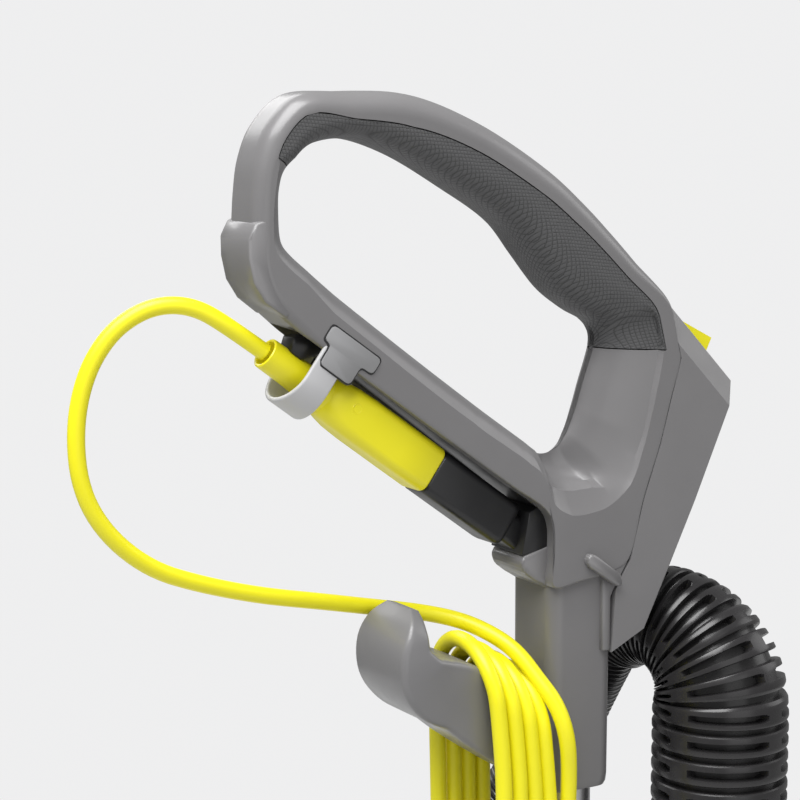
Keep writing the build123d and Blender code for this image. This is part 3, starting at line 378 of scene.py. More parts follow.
# ---- cords --------------------------------------------------------------------------------------------
def cord_curve(name, points, diameter, material):
    """A round cord whose centreline is one NURBS spline with these control points, in metres."""
    curve = bpy.data.curves.new(name, "CURVE")
    curve.dimensions = "3D"
    line = curve.splines.new("NURBS")
    line.points.add(len(points) - 1)
    for point, place in zip(line.points, points):
        point.co = (*place, 1)
    line.order_u = 3
    line.use_endpoint_u = True
    line.resolution_u = 6
    curve.bevel_depth, curve.bevel_resolution = diameter / 2, 5
    curve.use_fill_caps = True
    curve.materials.append(material)
    return link(bpy.data.objects.new(name, curve))


def centreline(points):
    """The points that Blender gives for the NURBS spline through these control points, in metres."""
    bare = cord_curve("bare_line", points, 0.0, CORD_LOOK)
    bare.data.bevel_depth, bare.data.use_fill_caps, bare.data.splines[0].resolution_u = 0, False, 12
    mesh = bpy.data.meshes.new_from_object(bare)
    line = np.array([v.co[:] for v in mesh.vertices])
    bpy.data.objects.remove(bare)
    bpy.data.meshes.remove(mesh)
    return line


CORD_D = 0.0075
LOOP_POINTS = [
    (0, 0.1784, 1.0657), (0.001, 0.194, 1.077), (0.004, 0.207, 1.0855), (0.007, 0.220, 1.0875),
    (0.010, 0.232, 1.084), (0.012, 0.244, 1.075), (0.014, 0.2535, 1.059), (0.015, 0.258, 1.037),
    (0.015, 0.256, 1.012), (0.015, 0.245, 0.992), (0.016, 0.225, 0.975), (0.018, 0.201, 0.9655),
    (0.021, 0.171, 0.9565), (0.024, 0.141, 0.950), (0.026, 0.112, 0.9435), (0.023, 0.090, 0.9395),
    (0.013, 0.073, 0.9355), (0, 0.0635, 0.930), (-0.010, 0.0575, 0.9235), (-0.019, 0.053, 0.913),
    (-0.028, 0.0485, 0.903), (-0.0315, 0.0445, 0.888), (-0.028, 0.041, 0.868), (-0.0255, 0.0405, 0.840),
]
TURN_R = 0.025
TURN_Y = [0.0405, 0.0486, 0.0563, 0.0645, 0.073]     # each turn on the near side, where it hangs free
TOP_SHIFT = 0.008                                    # how much further back it crosses the hook
HOOK_LOW_Z = 0.3525
WOBBLE = [(0.0006, 0.0010), (-0.0010, 0.0004), (0.0004, -0.0007), (-0.0005, 0.0008), (0.0008, 0.0)]


UPPER_Y, UPPER_Z, UPPER_RISE = 0.0515, 0.886, 0.648   # centre of the first upper bend, and the hook's slope


def top_centre(y):
    """Height of the centre of a turn's upper bend, which rises with the hook."""
    return UPPER_Z + (y - UPPER_Y) * UPPER_RISE


def hank_points():
    """The wound turns: down the near side, round the lower hook, up the far side and over the upper hook."""
    corner = TURN_R * math.tan(math.radians(22.5))
    points = []
    for turn, y in enumerate(TURN_Y):
        dx, dy = WOBBLE[turn]
        if turn:
            y_top, z = y + TOP_SHIFT, top_centre(y + TOP_SHIFT)
            points += [(TURN_R, y_top - 0.002, z - corner), (TURN_R, y_top - 0.0015, z + corner),
                       (corner, y_top - 0.0005, z + TURN_R), (-corner, y_top, z + TURN_R),
                       (-TURN_R, y_top - 0.002, z + corner), (-TURN_R - 0.0004, y_top - 0.0045, z - corner),
                       (-TURN_R - 0.0006, y + 0.0005, z - 0.045)]
        points.append((-TURN_R + dx, y + 0.001, 0.700))
        points.append((-TURN_R + dx / 2, y + 0.0035 + dy / 2, 0.560))
        if turn < len(TURN_Y) - 1:
            z = HOOK_LOW_Z
            points += [(-TURN_R, y + 0.002, z + corner), (-TURN_R, y + 0.002, z - corner),
                       (-corner, y + 0.002, z - TURN_R), (corner, y + 0.002, z - TURN_R),
                       (TURN_R, y + 0.0025, z - corner), (TURN_R, y + 0.003, z + corner),
                       (TURN_R + dx / 2, y + 0.006 + dy, 0.540), (TURN_R - dx, y + 0.010, 0.720)]
    return points


TAIL_POINTS = [(-0.0245, 0.0750, 0.372), (-0.022, 0.0758, 0.345), (-0.0155, 0.076, 0.322),
               (-0.012, 0.076, 0.302), (-0.012, 0.076, 0.2845)]
cord_points = LOOP_POINTS + hank_points() + TAIL_POINTS
cord_line = centreline(cord_points)
mains_cord = cord_curve("mains_cord", cord_points, CORD_D, CORD_LOOK)
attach(mains_cord, "upper")
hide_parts("cord_loop", "cord_hank", "cord_tail")

HOSE_R, RIB_PITCH, RIB_DEPTH = 19.0, 3.0, 1.5
HOSE_POINTS = [(0.0342, -0.023, 0.9131), (0.0475, -0.021, 0.893), (0.060, -0.008, 0.851),
               (0.080, 0.011, 0.806), (0.104, 0.021, 0.768), (0.118, 0.020, 0.722), (0.118, 0.020, 0.670)]
hose_line = centreline(HOSE_POINTS)


def frames_along(line):
    """Two directions square to a line at each of its points, turned as little as possible along it."""
    tangents = np.gradient(line, axis=0)
    tangents /= np.linalg.norm(tangents, axis=1)[:, None]
    side = np.cross(tangents[0], (0, 0, 1.0) if abs(tangents[0][2]) < 0.9 else (1.0, 0, 0))
    sides = []
    for t in tangents:
        side = side - t * side.dot(t)
        side = side / np.linalg.norm(side)
        sides.append(side)
    sides = np.array(sides)
    return tangents, sides, np.cross(tangents, sides)


def hose_mesh(name, line_m, radius, pitch, depth, material, around=48, per_pitch=6):
    """A corrugated hose: rounded ribs with narrow grooves between them, along a line in metres."""
    line = line_m / MM
    length = np.linalg.norm(np.diff(line, axis=0), axis=1).sum()
    ribs = round(length / pitch)
    line = resample(line, ribs * per_pitch + 1)
    _, u, v = frames_along(line)
    angles = np.linspace(0, 2 * math.pi, around, endpoint=False)
    rings = []
    for k, p in enumerate(line):
        phase = (k % per_pitch) / per_pitch
        r = radius - depth * (0.5 + 0.5 * math.cos(2 * math.pi * phase)) ** 2.2
        rings.append([p + r * (math.cos(a) * u[k] + math.sin(a) * v[k]) for a in angles])
    return loft_rings(name, rings, material, sharp=80)


stretch_hose = hose_mesh("stretch_hose", hose_line, HOSE_R, RIB_PITCH, RIB_DEPTH, HOSE_LOOK)
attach(stretch_hose, "upper")
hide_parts("suction_hose")


# ---- handle shell and soft grip -----------------------------------------------------------------------
HEAD_HALF, LOOP_HALF, LOOP_BACK = 20.0, 14.0, 192.0
STEM_Y = 27.0                         # how far back the stem stands


def half_width(y):
    """Half the head's width, which narrows from the stem back to the loop."""
    return HEAD_HALF - (HEAD_HALF - LOOP_HALF) * np.maximum(0.0, y - 40) / (LOOP_BACK - 40)


# outer (y, z), inner (y, z), inner rounding along and across, outer rounding along and across,
# seam from the outside, crease angle of the inner rounding, channel depth under the bar,
# how hollow the inner rounding is, and the bevel below it: how far out and how far down it runs
STATIONS = [
    (188.5, 1113, 175, 1117, 6.5, 9, 6, 6, 7, 38, 0, 0, 0, 0.5),
    (188.6, 1120, 175.3, 1124, 6.5, 9, 6, 6, 7, 38, 0, 0, 0, 0.5),
    (188, 1132.5, 175.3, 1133, 6.5, 9, 7, 7, 7, 38, 0, 0, 0, 0.5),
    (186.2, 1146, 173.6, 1140.5, 6.5, 8, 7.5, 8, 7.5, 24, 0, 0, 0, 0.5),
    (181.0, 1159.2, 168.5, 1146.5, 6, 7, 7, 9, 7.6, 0, 0, 0, 0, 0.5),
    (167.5, 1172.2, 159.5, 1152.3, 8, 11, 7.4, 10, 8, 0, 0, 0, 0, 0.5),
    (144.5, 1174, 142, 1154.2, 8, 13, 9, 11, 11.5, 0, 0, 0, 0, 0.5),
    (114, 1172.8, 118, 1147, 10, 14, 9.5, 12, 14, 0, 0, 0, 0, 0.5),
    (80, 1161, 89, 1131.5, 11, 15, 9.5, 13, 13.5, 0, 0, 0, 0, 0.5),
    (45, 1140.5, 63.5, 1115, 13, 16, 9.5, 13, 13, 0, 0, 0, 0, 0.5),
    (28, 1127, 51, 1100, 15, 17, 9, 13, 12.5, 0, 0, 0, 0, 0.5),
    (14, 1114, 39, 1085.5, 17, 18, 8.5, 12, 11.5, 0, 0, 0, 0, 0.5),
    (-2, 1097.5, 26, 1076, 18, 18, 7, 10, 10.5, 0, 0, 0, 0, 0.5),
    (-15.6, 1082.6, 15.5, 1070, 21, 19, 3, 4, 9, 8, 0, 0, 0, 0.5),
    (-18.6, 1076, 12.6, 1065, 23, 19.5, 1.0, 1.0, 8, 16, 0, 0, 2.2, 1.5),
    (-23.2, 1057, 12.6, 1058.5, 25, 20, 1.0, 1.0, 8, 26, 0, 0, 2.2, 1.5),
    (-24, 1053, 14, 1054, 26, 20, 1.0, 1.0, 8, 30, 0, 0, 2.2, 1.5),
    (-18.6, 1034, 18, 1043, 27, 20, 1.0, 1.0, 8, 34, 0, 0, 2.2, 1.5),
    (-13, 1014, 22.2, 1030.5, 29, 20, 1.0, 1.0, 8, 36, 0, 0, 2.2, 1.5),
    (-4, 989, 27, 1020, 30, 19.5, 1.0, 1.0, 8, 38, 0, 0.25, 2.6, 3.0),
    (4, 962, 31, 1014.5, 21.5, 16.5, 1.0, 1.0, 8, 40, 0, 0.9, 4.4, 9.0),
    (13, 957.5, 35, 1012, 18.6, 15.6, 1.0, 1.0, 8, 40, 0, 1.0, 4.4, 9.5),
    (30, 954.6, 39.5, 1011.4, 16.6, 15.6, 1.5, 1.5, 8, 38, 0, 1.0, 4.2, 9.5),
    (44.4, 953.4, 44, 1012.6, 14.6, 15.2, 1.5, 1.5, 8, 36, 0, 0.8, 3.4, 7.0),
    (44.4, 966, 49.5, 1015.6, 12.4, 11, 1.5, 1.5, 8, 42, 0, 0, 1.0, 3.0),
    (44.6, 981, 55.5, 1019.8, 13.7, 11, 1.2, 1.2, 8, 42, 2, 0, 0, 0.5),
    (49, 989.2, 62, 1024.4, 15.0, 11, 1.2, 1.2, 8, 42, 8, 0, 0, 0.5),
    (66, 1001.2, 73, 1032.2, 12.6, 11, 1.2, 1.2, 8, 42, 12, 0, 0, 0.5),
    (90, 1018.4, 84, 1040.3, 9.2, 11, 1.2, 1.2, 8, 42, 12, 0, 0, 0.5),
    (118, 1038.6, 107, 1057.4, 8.8, 11, 1.2, 1.2, 8, 42, 12, 0, 0, 0.5),
    (141, 1055.2, 130, 1074.8, 8.5, 11, 1.5, 1.5, 8, 42, 11, 0, 0, 0.5),
    (160, 1068.8, 149, 1089.4, 8.5, 11, 3, 3, 8, 42, 4, 0, 0, 0.5),
    (171, 1077, 163, 1100.6, 6.5, 9, 5, 5, 8, 38, 0, 0, 0, 0.5),
    (181.5, 1087, 170.5, 1107.2, 6.5, 9, 6, 6, 7, 38, 0, 0, 0, 0.5),
    (187.2, 1100, 174, 1111.8, 6.5, 9, 6, 6, 7, 38, 0, 0, 0, 0.5),
]
SOFT_FROM, SOFT_TO = 3.35, 15.0       # stations between which the soft grip lies
RING_STEPS = 8                        # rings between two stations
CHANNEL_HALF = 11.6
LIP_LIFT = 1.6                        # how far the lip of the hollow stands up


def ring_section(values):
    """One section of the loop, as points from the inner middle to the outer middle, and the seam's index."""
    oy, oz, iy, iz, rin, rix, ron, rox, seam, crease, channel, hollow, drop, step = values
    length = math.hypot(oy - iy, oz - iz)
    ey, ez = (oy - iy) / length, (oz - iz) / length
    ron = min(ron, seam - 0.4, length * 0.45)
    rin = min(rin, length - ron - 1.0, length - seam - 0.6)
    w_in, w_out = half_width(iy + ey * rin), half_width(oy - ey * ron)
    rix, rox = min(rix, w_in), min(rox, w_out)
    profile = [(0.0, (w_in - drop - rix) * s) for s in (0.0, 0.35, 0.7)]
    top = math.radians(90 - crease)
    rix = min(rix, w_in - drop)
    for t in np.linspace(0, top, 10):
        depth = (1 - math.cos(t)) / (1 - math.cos(top))
        out = (1 - hollow) * math.sin(t) / math.sin(top) + hollow * depth**2.6
        lift = LIP_LIFT * hollow * max(0.0, depth - 0.85) / 0.15
        profile.append((rin * depth - lift, (w_in - drop - rix) + rix * out))
    split = length - seam
    step = min(step, split - rin - 1.0)
    profile += [(rin + step * 0.5, w_in - drop * 0.5), (rin + step, None)]
    for n in np.linspace(rin + step, split, 7)[1:]:
        profile.append((n, None))
    seam_index = len(profile) - 1
    for n in np.linspace(split, length - ron, 6)[1:]:
        profile.append((n, None))
    for t in np.linspace(math.pi / 2, 0, 9)[1:]:
        profile.append((length - ron * (1 - math.cos(t)), (w_out - rox) + rox * math.sin(t)))
    rim = min(CHANNEL_HALF, w_out - rox)
    profile += [(length, rim + (w_out - rox - rim) * 0.5), (length, rim), (length - channel, rim - 0.02),
                (length - channel, rim * 0.5), (length - channel, 0.0)]
    points = []
    for n, x in profile:
        y = iy + ey * n
        points.append((half_width(y) if x is None else x, y, iz + ez * n))
    return points, seam_index


def ring_values():
    """The stations, smoothly filled in; each row is one ring's values, with its place among the stations."""
    pts = np.array(STATIONS, float)
    n = len(pts)
    rows, places = [], []
    for i in range(n):
        p0, p1, p2, p3 = pts[(i - 1) % n], pts[i], pts[(i + 1) % n], pts[(i + 2) % n]
        t1, t2, t3 = (max(np.linalg.norm((b - a)[:2]) + np.linalg.norm((b - a)[2:4]), 1.0) ** 0.5
                      for a, b in ((p0, p1), (p1, p2), (p2, p3)))
        m1, m2 = slopes(p0, p1, p2, p3, t1, t2, t3)
        for k in range(RING_STEPS):
            t = k / RING_STEPS
            row = between(t, p1, p2, m1, m2)
            row[4:] = p1[4:] * (1 - t) + p2[4:] * t
            rows.append(row)
            places.append(i + t)
    return rows, places


def loop_meshes():
    """The hard shell of the loop and head, and the soft grip set into it, parted by a narrow groove."""
    rows, places = ring_values()
    half = [ring_section(row) for row in rows]
    seam = half[0][1]
    count = len(half[0][0])
    verts, around = [], 2 * count - 2
    for points, _ in half:
        verts += [(-x, y, z) for x, y, z in points]
        verts += [points[k] for k in range(count - 2, 0, -1)]
    total = len(rows)
    hard, soft = [], []
    for i in range(total):
        mid = places[i] + 0.5 / RING_STEPS
        for j in range(around):
            face = (i * around + j, i * around + (j + 1) % around,
                    ((i + 1) % total) * around + (j + 1) % around, ((i + 1) % total) * around + j)
            inner = j < seam or j >= around - seam
            (soft if inner and SOFT_FROM < mid < SOFT_TO else hard).append(face)
    return [turned_in(name, verts, faces, material)
            for name, faces, material in (("handle_loop", hard, SHELL), ("grip_skin", soft, GRIP_LOOK))]


def turned_in(name, verts, faces, material, gap=0.28, depth=1.6):
    """A skin whose open edges draw back by a small gap and turn inwards, so that its seam is a groove."""
    obj = mesh_piece(name, verts, faces, material, smooth=False)
    work = bmesh.new()
    work.from_mesh(obj.data)
    loose = [v for v in work.verts if not v.link_faces]
    bmesh.ops.delete(work, geom=loose, context="VERTS")
    work.normal_update()
    edges = [e for e in work.edges if e.is_boundary]
    rim = {v for e in edges for v in e.verts}
    normal = {v: v.normal.copy() for v in rim}
    pull = {}
    for v in rim:
        inward = Vector()
        for f in v.link_faces:
            inward += f.calc_center_median() - v.co
        inward -= v.normal * inward.dot(v.normal)
        pull[v] = inward.normalized() if inward.length > 1e-9 else Vector()
    for v in rim:
        v.co += pull[v] * gap * MM
    made = bmesh.ops.extrude_edge_only(work, edges=edges)
    for v in [g for g in made["geom"] if isinstance(g, bmesh.types.BMVert)]:
        near = min(rim, key=lambda r: (r.co - v.co).length_squared)
        v.co -= normal[near] * depth * MM
    bmesh.ops.recalc_face_normals(work, faces=work.faces)
    work.to_mesh(obj.data)
    work.free()
    obj.data.shade_smooth()
    obj.data.set_sharp_from_angle(angle=math.radians(24))
    return obj


handle_loop, grip_skin = loop_meshes()


# heights of the stem sleeve's rings with half widths and corner radii
SLEEVE = [(872, 14.1, 14.1, 14.0), (858, 14.1, 14.1, 14.0), (856, 15.2, 15.6, 7.5), (856.6, 16.4, 16.6, 7.2),
          (858.2, 16.9, 17.1, 7.0), (862, 17.2, 17.4, 7.0), (962, 17.6, 17.4, 7.0)]
stem_sleeve = loft_rings("stem_sleeve", [[(x, y + STEM_Y, z) for x, y in rounded_rect(half_x, half_y, r, 9)]
                                         for z, half_x, half_y, r in SLEEVE], SHELL)
chin = plate("chin", [(34, 974), (44, 972), (56.6, 968.4), (58, 964.8), (56.4, 960.4), (51, 956.4),
                      (43, 951.5), (34, 954)], -13.4, 13.4, SHELL, bevel=2.2, segments=4)
neck_fill = plate("neck_fill", [(3.8, 961.6), (11.5, 949.6), (13.3, 946), (13.3, 921), (18, 921), (18, 963)],
                  -19.6, 19.6, SHELL, bevel=0.8)
ledge = plate("ledge", [(180, 1122.6), (188.6, 1121), (192, 1114.4), (191.8, 1106), (189.6, 1096),
                        (184.5, 1088), (175, 1080.6), (171, 1086), (180, 1100)],
              -14.2, 14.2, SHELL, bevel=1.3, segments=3)


def join(name, parts):
    """Several objects made one, named name."""
    work = bmesh.new()
    materials = []
    for part in parts:
        offset = len(work.faces)
        work.from_mesh(part.data)
        work.faces.ensure_lookup_table()
        slots = []
        for m in part.data.materials:
            if m not in materials:
                materials.append(m)
            slots.append(materials.index(m))
        for f in list(work.faces)[offset:]:
            f.material_index = slots[f.material_index] if slots else 0
    mesh = bpy.data.meshes.new(name)
    work.to_mesh(mesh)
    work.free()
    for m in materials:
        mesh.materials.append(m)
    for part in parts:
        bpy.data.objects.remove(part)
    return link(bpy.data.objects.new(name, mesh))


def peg_rib():
    """The short rib with a stub peg low on each side of the head."""
    parts = []
    for side in (-1, 1):
        parts.append(plate("rib", [(9.6, 951.4), (10.2, 956.6), (24.6, 967.2), (27.6, 967.4), (28.9, 965),
                                   (28.2, 962.2), (12.6, 951.2)], side * 18.5, side * 23.4, SHELL, bevel=1.0))
    return parts


handle_body = join("handle_body", [handle_loop, stem_sleeve, chin, neck_fill, ledge] + peg_rib())
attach(handle_body, "upper")
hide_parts("handle_shell")
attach(grip_skin, "upper")
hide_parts("soft_grip")

SCREWS = [(2, 1040), (30, 975)]       # middles (y, z) of the screws on the head's side


def lathe(name, profile, centre, material, axis="Z", count=32, sharp=40):
    """A turned shape from (radius, height) points round an axis through a centre, in millimetres."""
    rings = []
    for r, h in profile:
        ring = []
        for a in np.linspace(0, 2 * math.pi, count, endpoint=False):
            c, s = r * math.cos(a), r * math.sin(a)
            place = {"Z": (c, s, h), "X": (h, c, s), "Y": (c, h, s)}[axis]
            ring.append(tuple(p + q for p, q in zip(place, centre)))
        rings.append(ring)
    return loft_rings(name, rings, material, sharp=sharp)


screw_parts = []
for y, z in SCREWS:
    x = float(half_width(y))
    screw_parts.append(lathe("screw", [(0.01, x + 0.1), (1.1, x + 0.12), (1.3, x - 0.7), (1.5, x + 0.12),
                                       (2.3, x + 0.1), (2.7, x - 0.2), (2.75, x - 1.0), (3.1, x - 1.0),
                                       (3.3, x + 0.12), (3.4, x - 0.2)], (0, y, z), STEEL, axis="X"))
screw_heads = join("screw_heads", screw_parts)
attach(screw_heads, "upper")
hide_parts("handle_screws")

# ---- connector, socket and clip -----------------------------------------------------------------------
SLOPE = math.radians(35.8)
PLUG_Y, PLUG_Z = 100.5, 1009.5


def on_plug(x, t, h):
    """A point t along the plug's axis, h above it towards the bar and x across it."""
    return (x, PLUG_Y + t * math.cos(SLOPE) - h * math.sin(SLOPE),
            PLUG_Z + t * math.sin(SLOPE) + h * math.cos(SLOPE))


def plug_rings(stations, steps=6):
    """Rounded-rectangle rings square to the plug's axis."""
    return [[on_plug(x, t, h + lift) for x, h in rounded_rect(half, tall, r, steps)]
            for t, half, tall, r, lift in stations]


PLUG_HALF = 10.75
# rings of the connector: place along the plug's axis, half width, half height, corner radius and lift
connector_body = loft_rings("connector_body", plug_rings([
    (0.2, 9.6, 9.6, 3.4, 0), (0.5, 10.2, 10.2, 3.8, 0), (1.4, PLUG_HALF, PLUG_HALF, 4.2, 0),
    (20, PLUG_HALF, PLUG_HALF, 4.2, 0), (42, PLUG_HALF, PLUG_HALF, 4.6, 0), (52, 10.5, 10.5, 5.6, 0),
    (58, 10.0, 10.0, 7.4, 0), (61.4, 9.4, 9.4, 7.8, 0), (63, 8.4, 8.4, 7.8, 0),
]), PLUG_LOOK)
dimple = lathe("dimple", [(0.01, -0.5), (1.6, -0.5), (1.9, 0.0), (2.2, 0.12), (2.5, -0.2)], (0, 0, 0),
               PLUG_LOOK)
for v in dimple.data.vertices:
    a, b, c = (value / MM for value in v.co)
    v.co = Vector(on_plug(-10.6 - c, 50 + a, 2 + b)) * MM
connector = join("connector", [connector_body, dimple])
connector.data.shade_smooth()
connector.data.set_sharp_from_angle(angle=math.radians(40))
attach(connector, "upper")
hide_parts("cord_connector")


def plug_lathe(name, profile, material, count=40):
    """A turned shape from (radius, place) points along the plug's axis."""
    rings = [[on_plug(r * math.cos(a), t, r * math.sin(a))
              for a in np.linspace(0, 2 * math.pi, count, endpoint=False)] for r, t in profile]
    return loft_rings(name, rings, material)


collar = plug_lathe("collar", [
    (4.0, 60), (8.6, 60.5), (8.9, 63.5), (8.2, 66), (7.5, 74), (7.1, 84), (7.0, 94), (6.9, 95.6), (6.4, 96.0),
    (5.7, 95.8), (5.3, 94.8), (4.3, 90), (3.9, 86)], PLUG_LOOK)
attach(collar, "upper")
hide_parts("strain_relief")

inlet = loft_rings("inlet", plug_rings([
    (-92, 7, 7, 3, 0), (-48.5, 7, 7, 3, 0), (-48, 9.2, 9.2, 3, 0), (-46.5, 10.2, 10.2, 3.4, 0),
    (-44, 10.5, 10.5, 3.6, 0), (-1.2, 10.6, 10.6, 4.0, 0), (-0.4, 10.2, 10.2, 3.8, 0), (0, 9.8, 9.8, 3.6, 0),
    (0, 7.5, 7.5, 3, 0), (-13, 7.5, 7.5, 3, 0),
]), SOCKET_LOOK)
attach(inlet, "upper")
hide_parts("appliance_inlet")

# Black plates under the bar: one lining the channel, a small stop block at its back end, and a plate in the
# chin's mouth that is painted shade, a black sheet where the mouth lies in shadow
channel_plates_and_mouth_shade = join("channel_plates_and_mouth_shade", [
    plate("channel", [on_plug(0, t, h)[1:] for t, h in ((-60, 13.6), (66, 15.6), (66, 18.6), (-60, 18.8))],
          -11.4, 11.4, BLACK, bevel=0),
    # painted shade: a black sheet in the chin's mouth, where the trough lies in shadow
    plate("mouth_shade", [(41, 994), (53.5, 987.5), (57.5, 968.6), (41, 971)], -12.9, 12.9, BLACK, bevel=0.3),
    plate("stop_block", [(152, 1064.5), (164, 1062), (169, 1066), (167, 1072), (153, 1072)], -5.5, 5.5, BLACK,
          bevel=0.8)])
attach(channel_plates_and_mouth_shade, "upper")

BAND_MID, BAND_HALF = 74.5, 6.5
BAND_R, BAND_THICK = 15.4, 2.2


def band_mesh():
    """The clip's U-shaped band: round below the plug, with straight legs up into the bar."""
    mid_r, leg_top = BAND_R - BAND_THICK / 2, 15
    path = [(-mid_r, leg_top)]
    path += [(mid_r * math.cos(a), mid_r * math.sin(a)) for a in np.linspace(math.pi, 2 * math.pi, 33)]
    path += [(mid_r, leg_top)]
    section = rounded_rect(BAND_THICK / 2, BAND_HALF, 0.9, 4)
    rings = []
    for k, (x, h) in enumerate(path):
        ahead = np.array(path[min(k + 1, len(path) - 1)]) - np.array(path[max(k - 1, 0)])
        ahead = ahead / np.linalg.norm(ahead)
        out = (ahead[1], -ahead[0])
        wide = 1.0 + 0.22 * math.sin(math.pi * k / (len(path) - 1)) ** 2
        rings.append([on_plug(x + out[0] * a, BAND_MID + b * wide, h + out[1] * a) for a, b in section])
    return loft_rings("band", rings, CLIP_LOOK)


clip_parts = [band_mesh()]
# the plate's outline: place along the plug's axis and height above it
TEE = [(55.8, 23.8), (83.2, 23.8), (83.2, 16.4), (79.2, 16.4), (79.2, 7), (62.4, 7), (62.4, 16.4),
       (55.8, 16.4)]
TEE_MID, TEE_CORNER = (70.5, 17.0), 2.2


def soft_corners(outline, r, steps=4):
    """The outline with each corner drawn as a small curve that starts r away from it."""
    points = []
    for k, corner in enumerate(outline):
        corner = np.array(corner, float)
        before, after = (np.array(outline[i % len(outline)], float) - corner for i in (k - 1, k + 1))
        start, end = (corner + way / np.linalg.norm(way) * r for way in (before, after))
        for t in np.linspace(0, 1, steps):
            points.append(tuple((1 - t)**2 * start + 2 * t * (1 - t) * corner + t**2 * end))
    return points


def tee_plate(side, grow, proud, material):
    """The clip's T-shaped plate on one side of the bar, following the side's slope; grown a little and made
    black, it is a painted shadow outline round the plate.
    """
    wide = [(t + math.copysign(grow, t - TEE_MID[0]), h + math.copysign(grow, h - TEE_MID[1]))
            for t, h in TEE]
    part = plate("tee", [on_plug(0, t, h)[1:] for t, h in soft_corners(wide, TEE_CORNER)],
                 side * (BAND_R - BAND_THICK), side * (BAND_R + proud), material, bevel=0.4)
    for v in part.data.vertices:
        v.co.x += side * (float(half_width(v.co.y / MM)) - BAND_R) * MM
    return part


for side in (-1, 1):
    # the second, larger black plate under each grey one is a painted shadow outline round the T-plate
    clip_parts += [tee_plate(side, 0.0, 0.8, CLIP_PLATE_LOOK), tee_plate(side, 0.7, 0.15, BLACK)]
clip = join("clip", clip_parts)
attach(clip, "upper")
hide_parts("cord_clip")

# ---- upper cord hook ----------------------------------------------------------------------------------
# middle (y, z), half thickness and half width of the hook, from the sleeve out to the tip of its leaf
HOOK = [(42, 879, 19, 15.5), (46, 881, 19, 16), (62, 890, 18, 17), (78, 900, 17, 18), (92, 909, 15.5, 19),
        (104, 914, 14.5, 20.5), (112, 921, 12, 22), (116, 931.5, 8.0, 22), (114.6, 940, 5.5, 20.5),
        (112.8, 945.5, 3.8, 16), (111.6, 949.5, 2.4, 10.5)]


def hook_mesh():
    """A broad rounded arm that rises into an upright leaf, as a skin over rounded sections."""
    rows = spline(HOOK, 60)
    way = np.gradient(rows[:, :2], axis=0)
    way /= np.linalg.norm(way, axis=1)[:, None]
    rings = []
    for (y, z, half_t, half_w), (dy, dz) in zip(rows, way):
        rings.append([(x, y - dz * n, z + dy * n)
                      for x, n in rounded_rect(half_w, half_t, min(half_t * 0.5, 3.0), 4)])
    return loft_rings("cord_hook", rings, SLEEVE_LOOK, sharp=35)


cord_hook = hook_mesh()
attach(cord_hook, "upper")
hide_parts("cable_hook_upper")

# ---- slotted bend sleeve of the hose ------------------------------------------------------------------
PORT = np.array([-25.0, -46.5])
ARCH_R, ARCH_Z, ARCH_TURN = 36.0, 890.0, 140.0
ARCH_WAY = np.array([0.93, 0.37]) / math.hypot(0.93, 0.37)
SLEEVE_LOW = 775.0


def sleeve_line(count):
    """The bend sleeve's centreline in millimetres: straight up, then over the arch."""
    line = [(PORT[0], PORT[1], z) for z in np.linspace(SLEEVE_LOW, ARCH_Z, 60)]
    for a in np.radians(np.linspace(0, ARCH_TURN, 60)[1:]):
        out = ARCH_R * (1 - math.cos(a))
        line.append((PORT[0] + ARCH_WAY[0] * out, PORT[1] + ARCH_WAY[1] * out, ARCH_Z + ARCH_R * math.sin(a)))
    return resample(np.array(line), count)


# the sleeve's radius, and a band's length, against length along the sleeve
SLEEVE_R = ([0, 110, 130, 150, 170, 205], [32.0, 32.0, 30.5, 27.5, 24.5, 23.2])
BAND_DEPTH, SLOT_DEPTH = 4.2, 5.0
BAND_PITCH = ([0, 95, 135, 205], [14.0, 14.0, 8.2, 8.2])
HOSE_BORE = 19.6
# a slot's middle, half its span and the spacing of the slots, in degrees
SLOT_AT, SLOT_SPAN, SLOT_EVERY = 38.0, 35.0, 90.0
# one band's outline: share of its length, depth below its crown and how much of a slot's span is cut there
BAND = [(0.0, 0.9, 0), (0.04, 0.2, 0), (0.09, 0.0, 0), (0.23, 0.0, 0), (0.245, 0.0, 0.9), (0.27, 0.0, 0.97),
        (0.31, 0.0, 1), (0.46, 0.0, 1), (0.50, 0.0, 0.97), (0.525, 0.0, 0.9), (0.54, 0.0, 0), (0.68, 0.0, 0),
        (0.73, 0.2, 0), (0.77, 0.9, 0), (0.775, BAND_DEPTH, 0), (0.995, BAND_DEPTH, 0)]


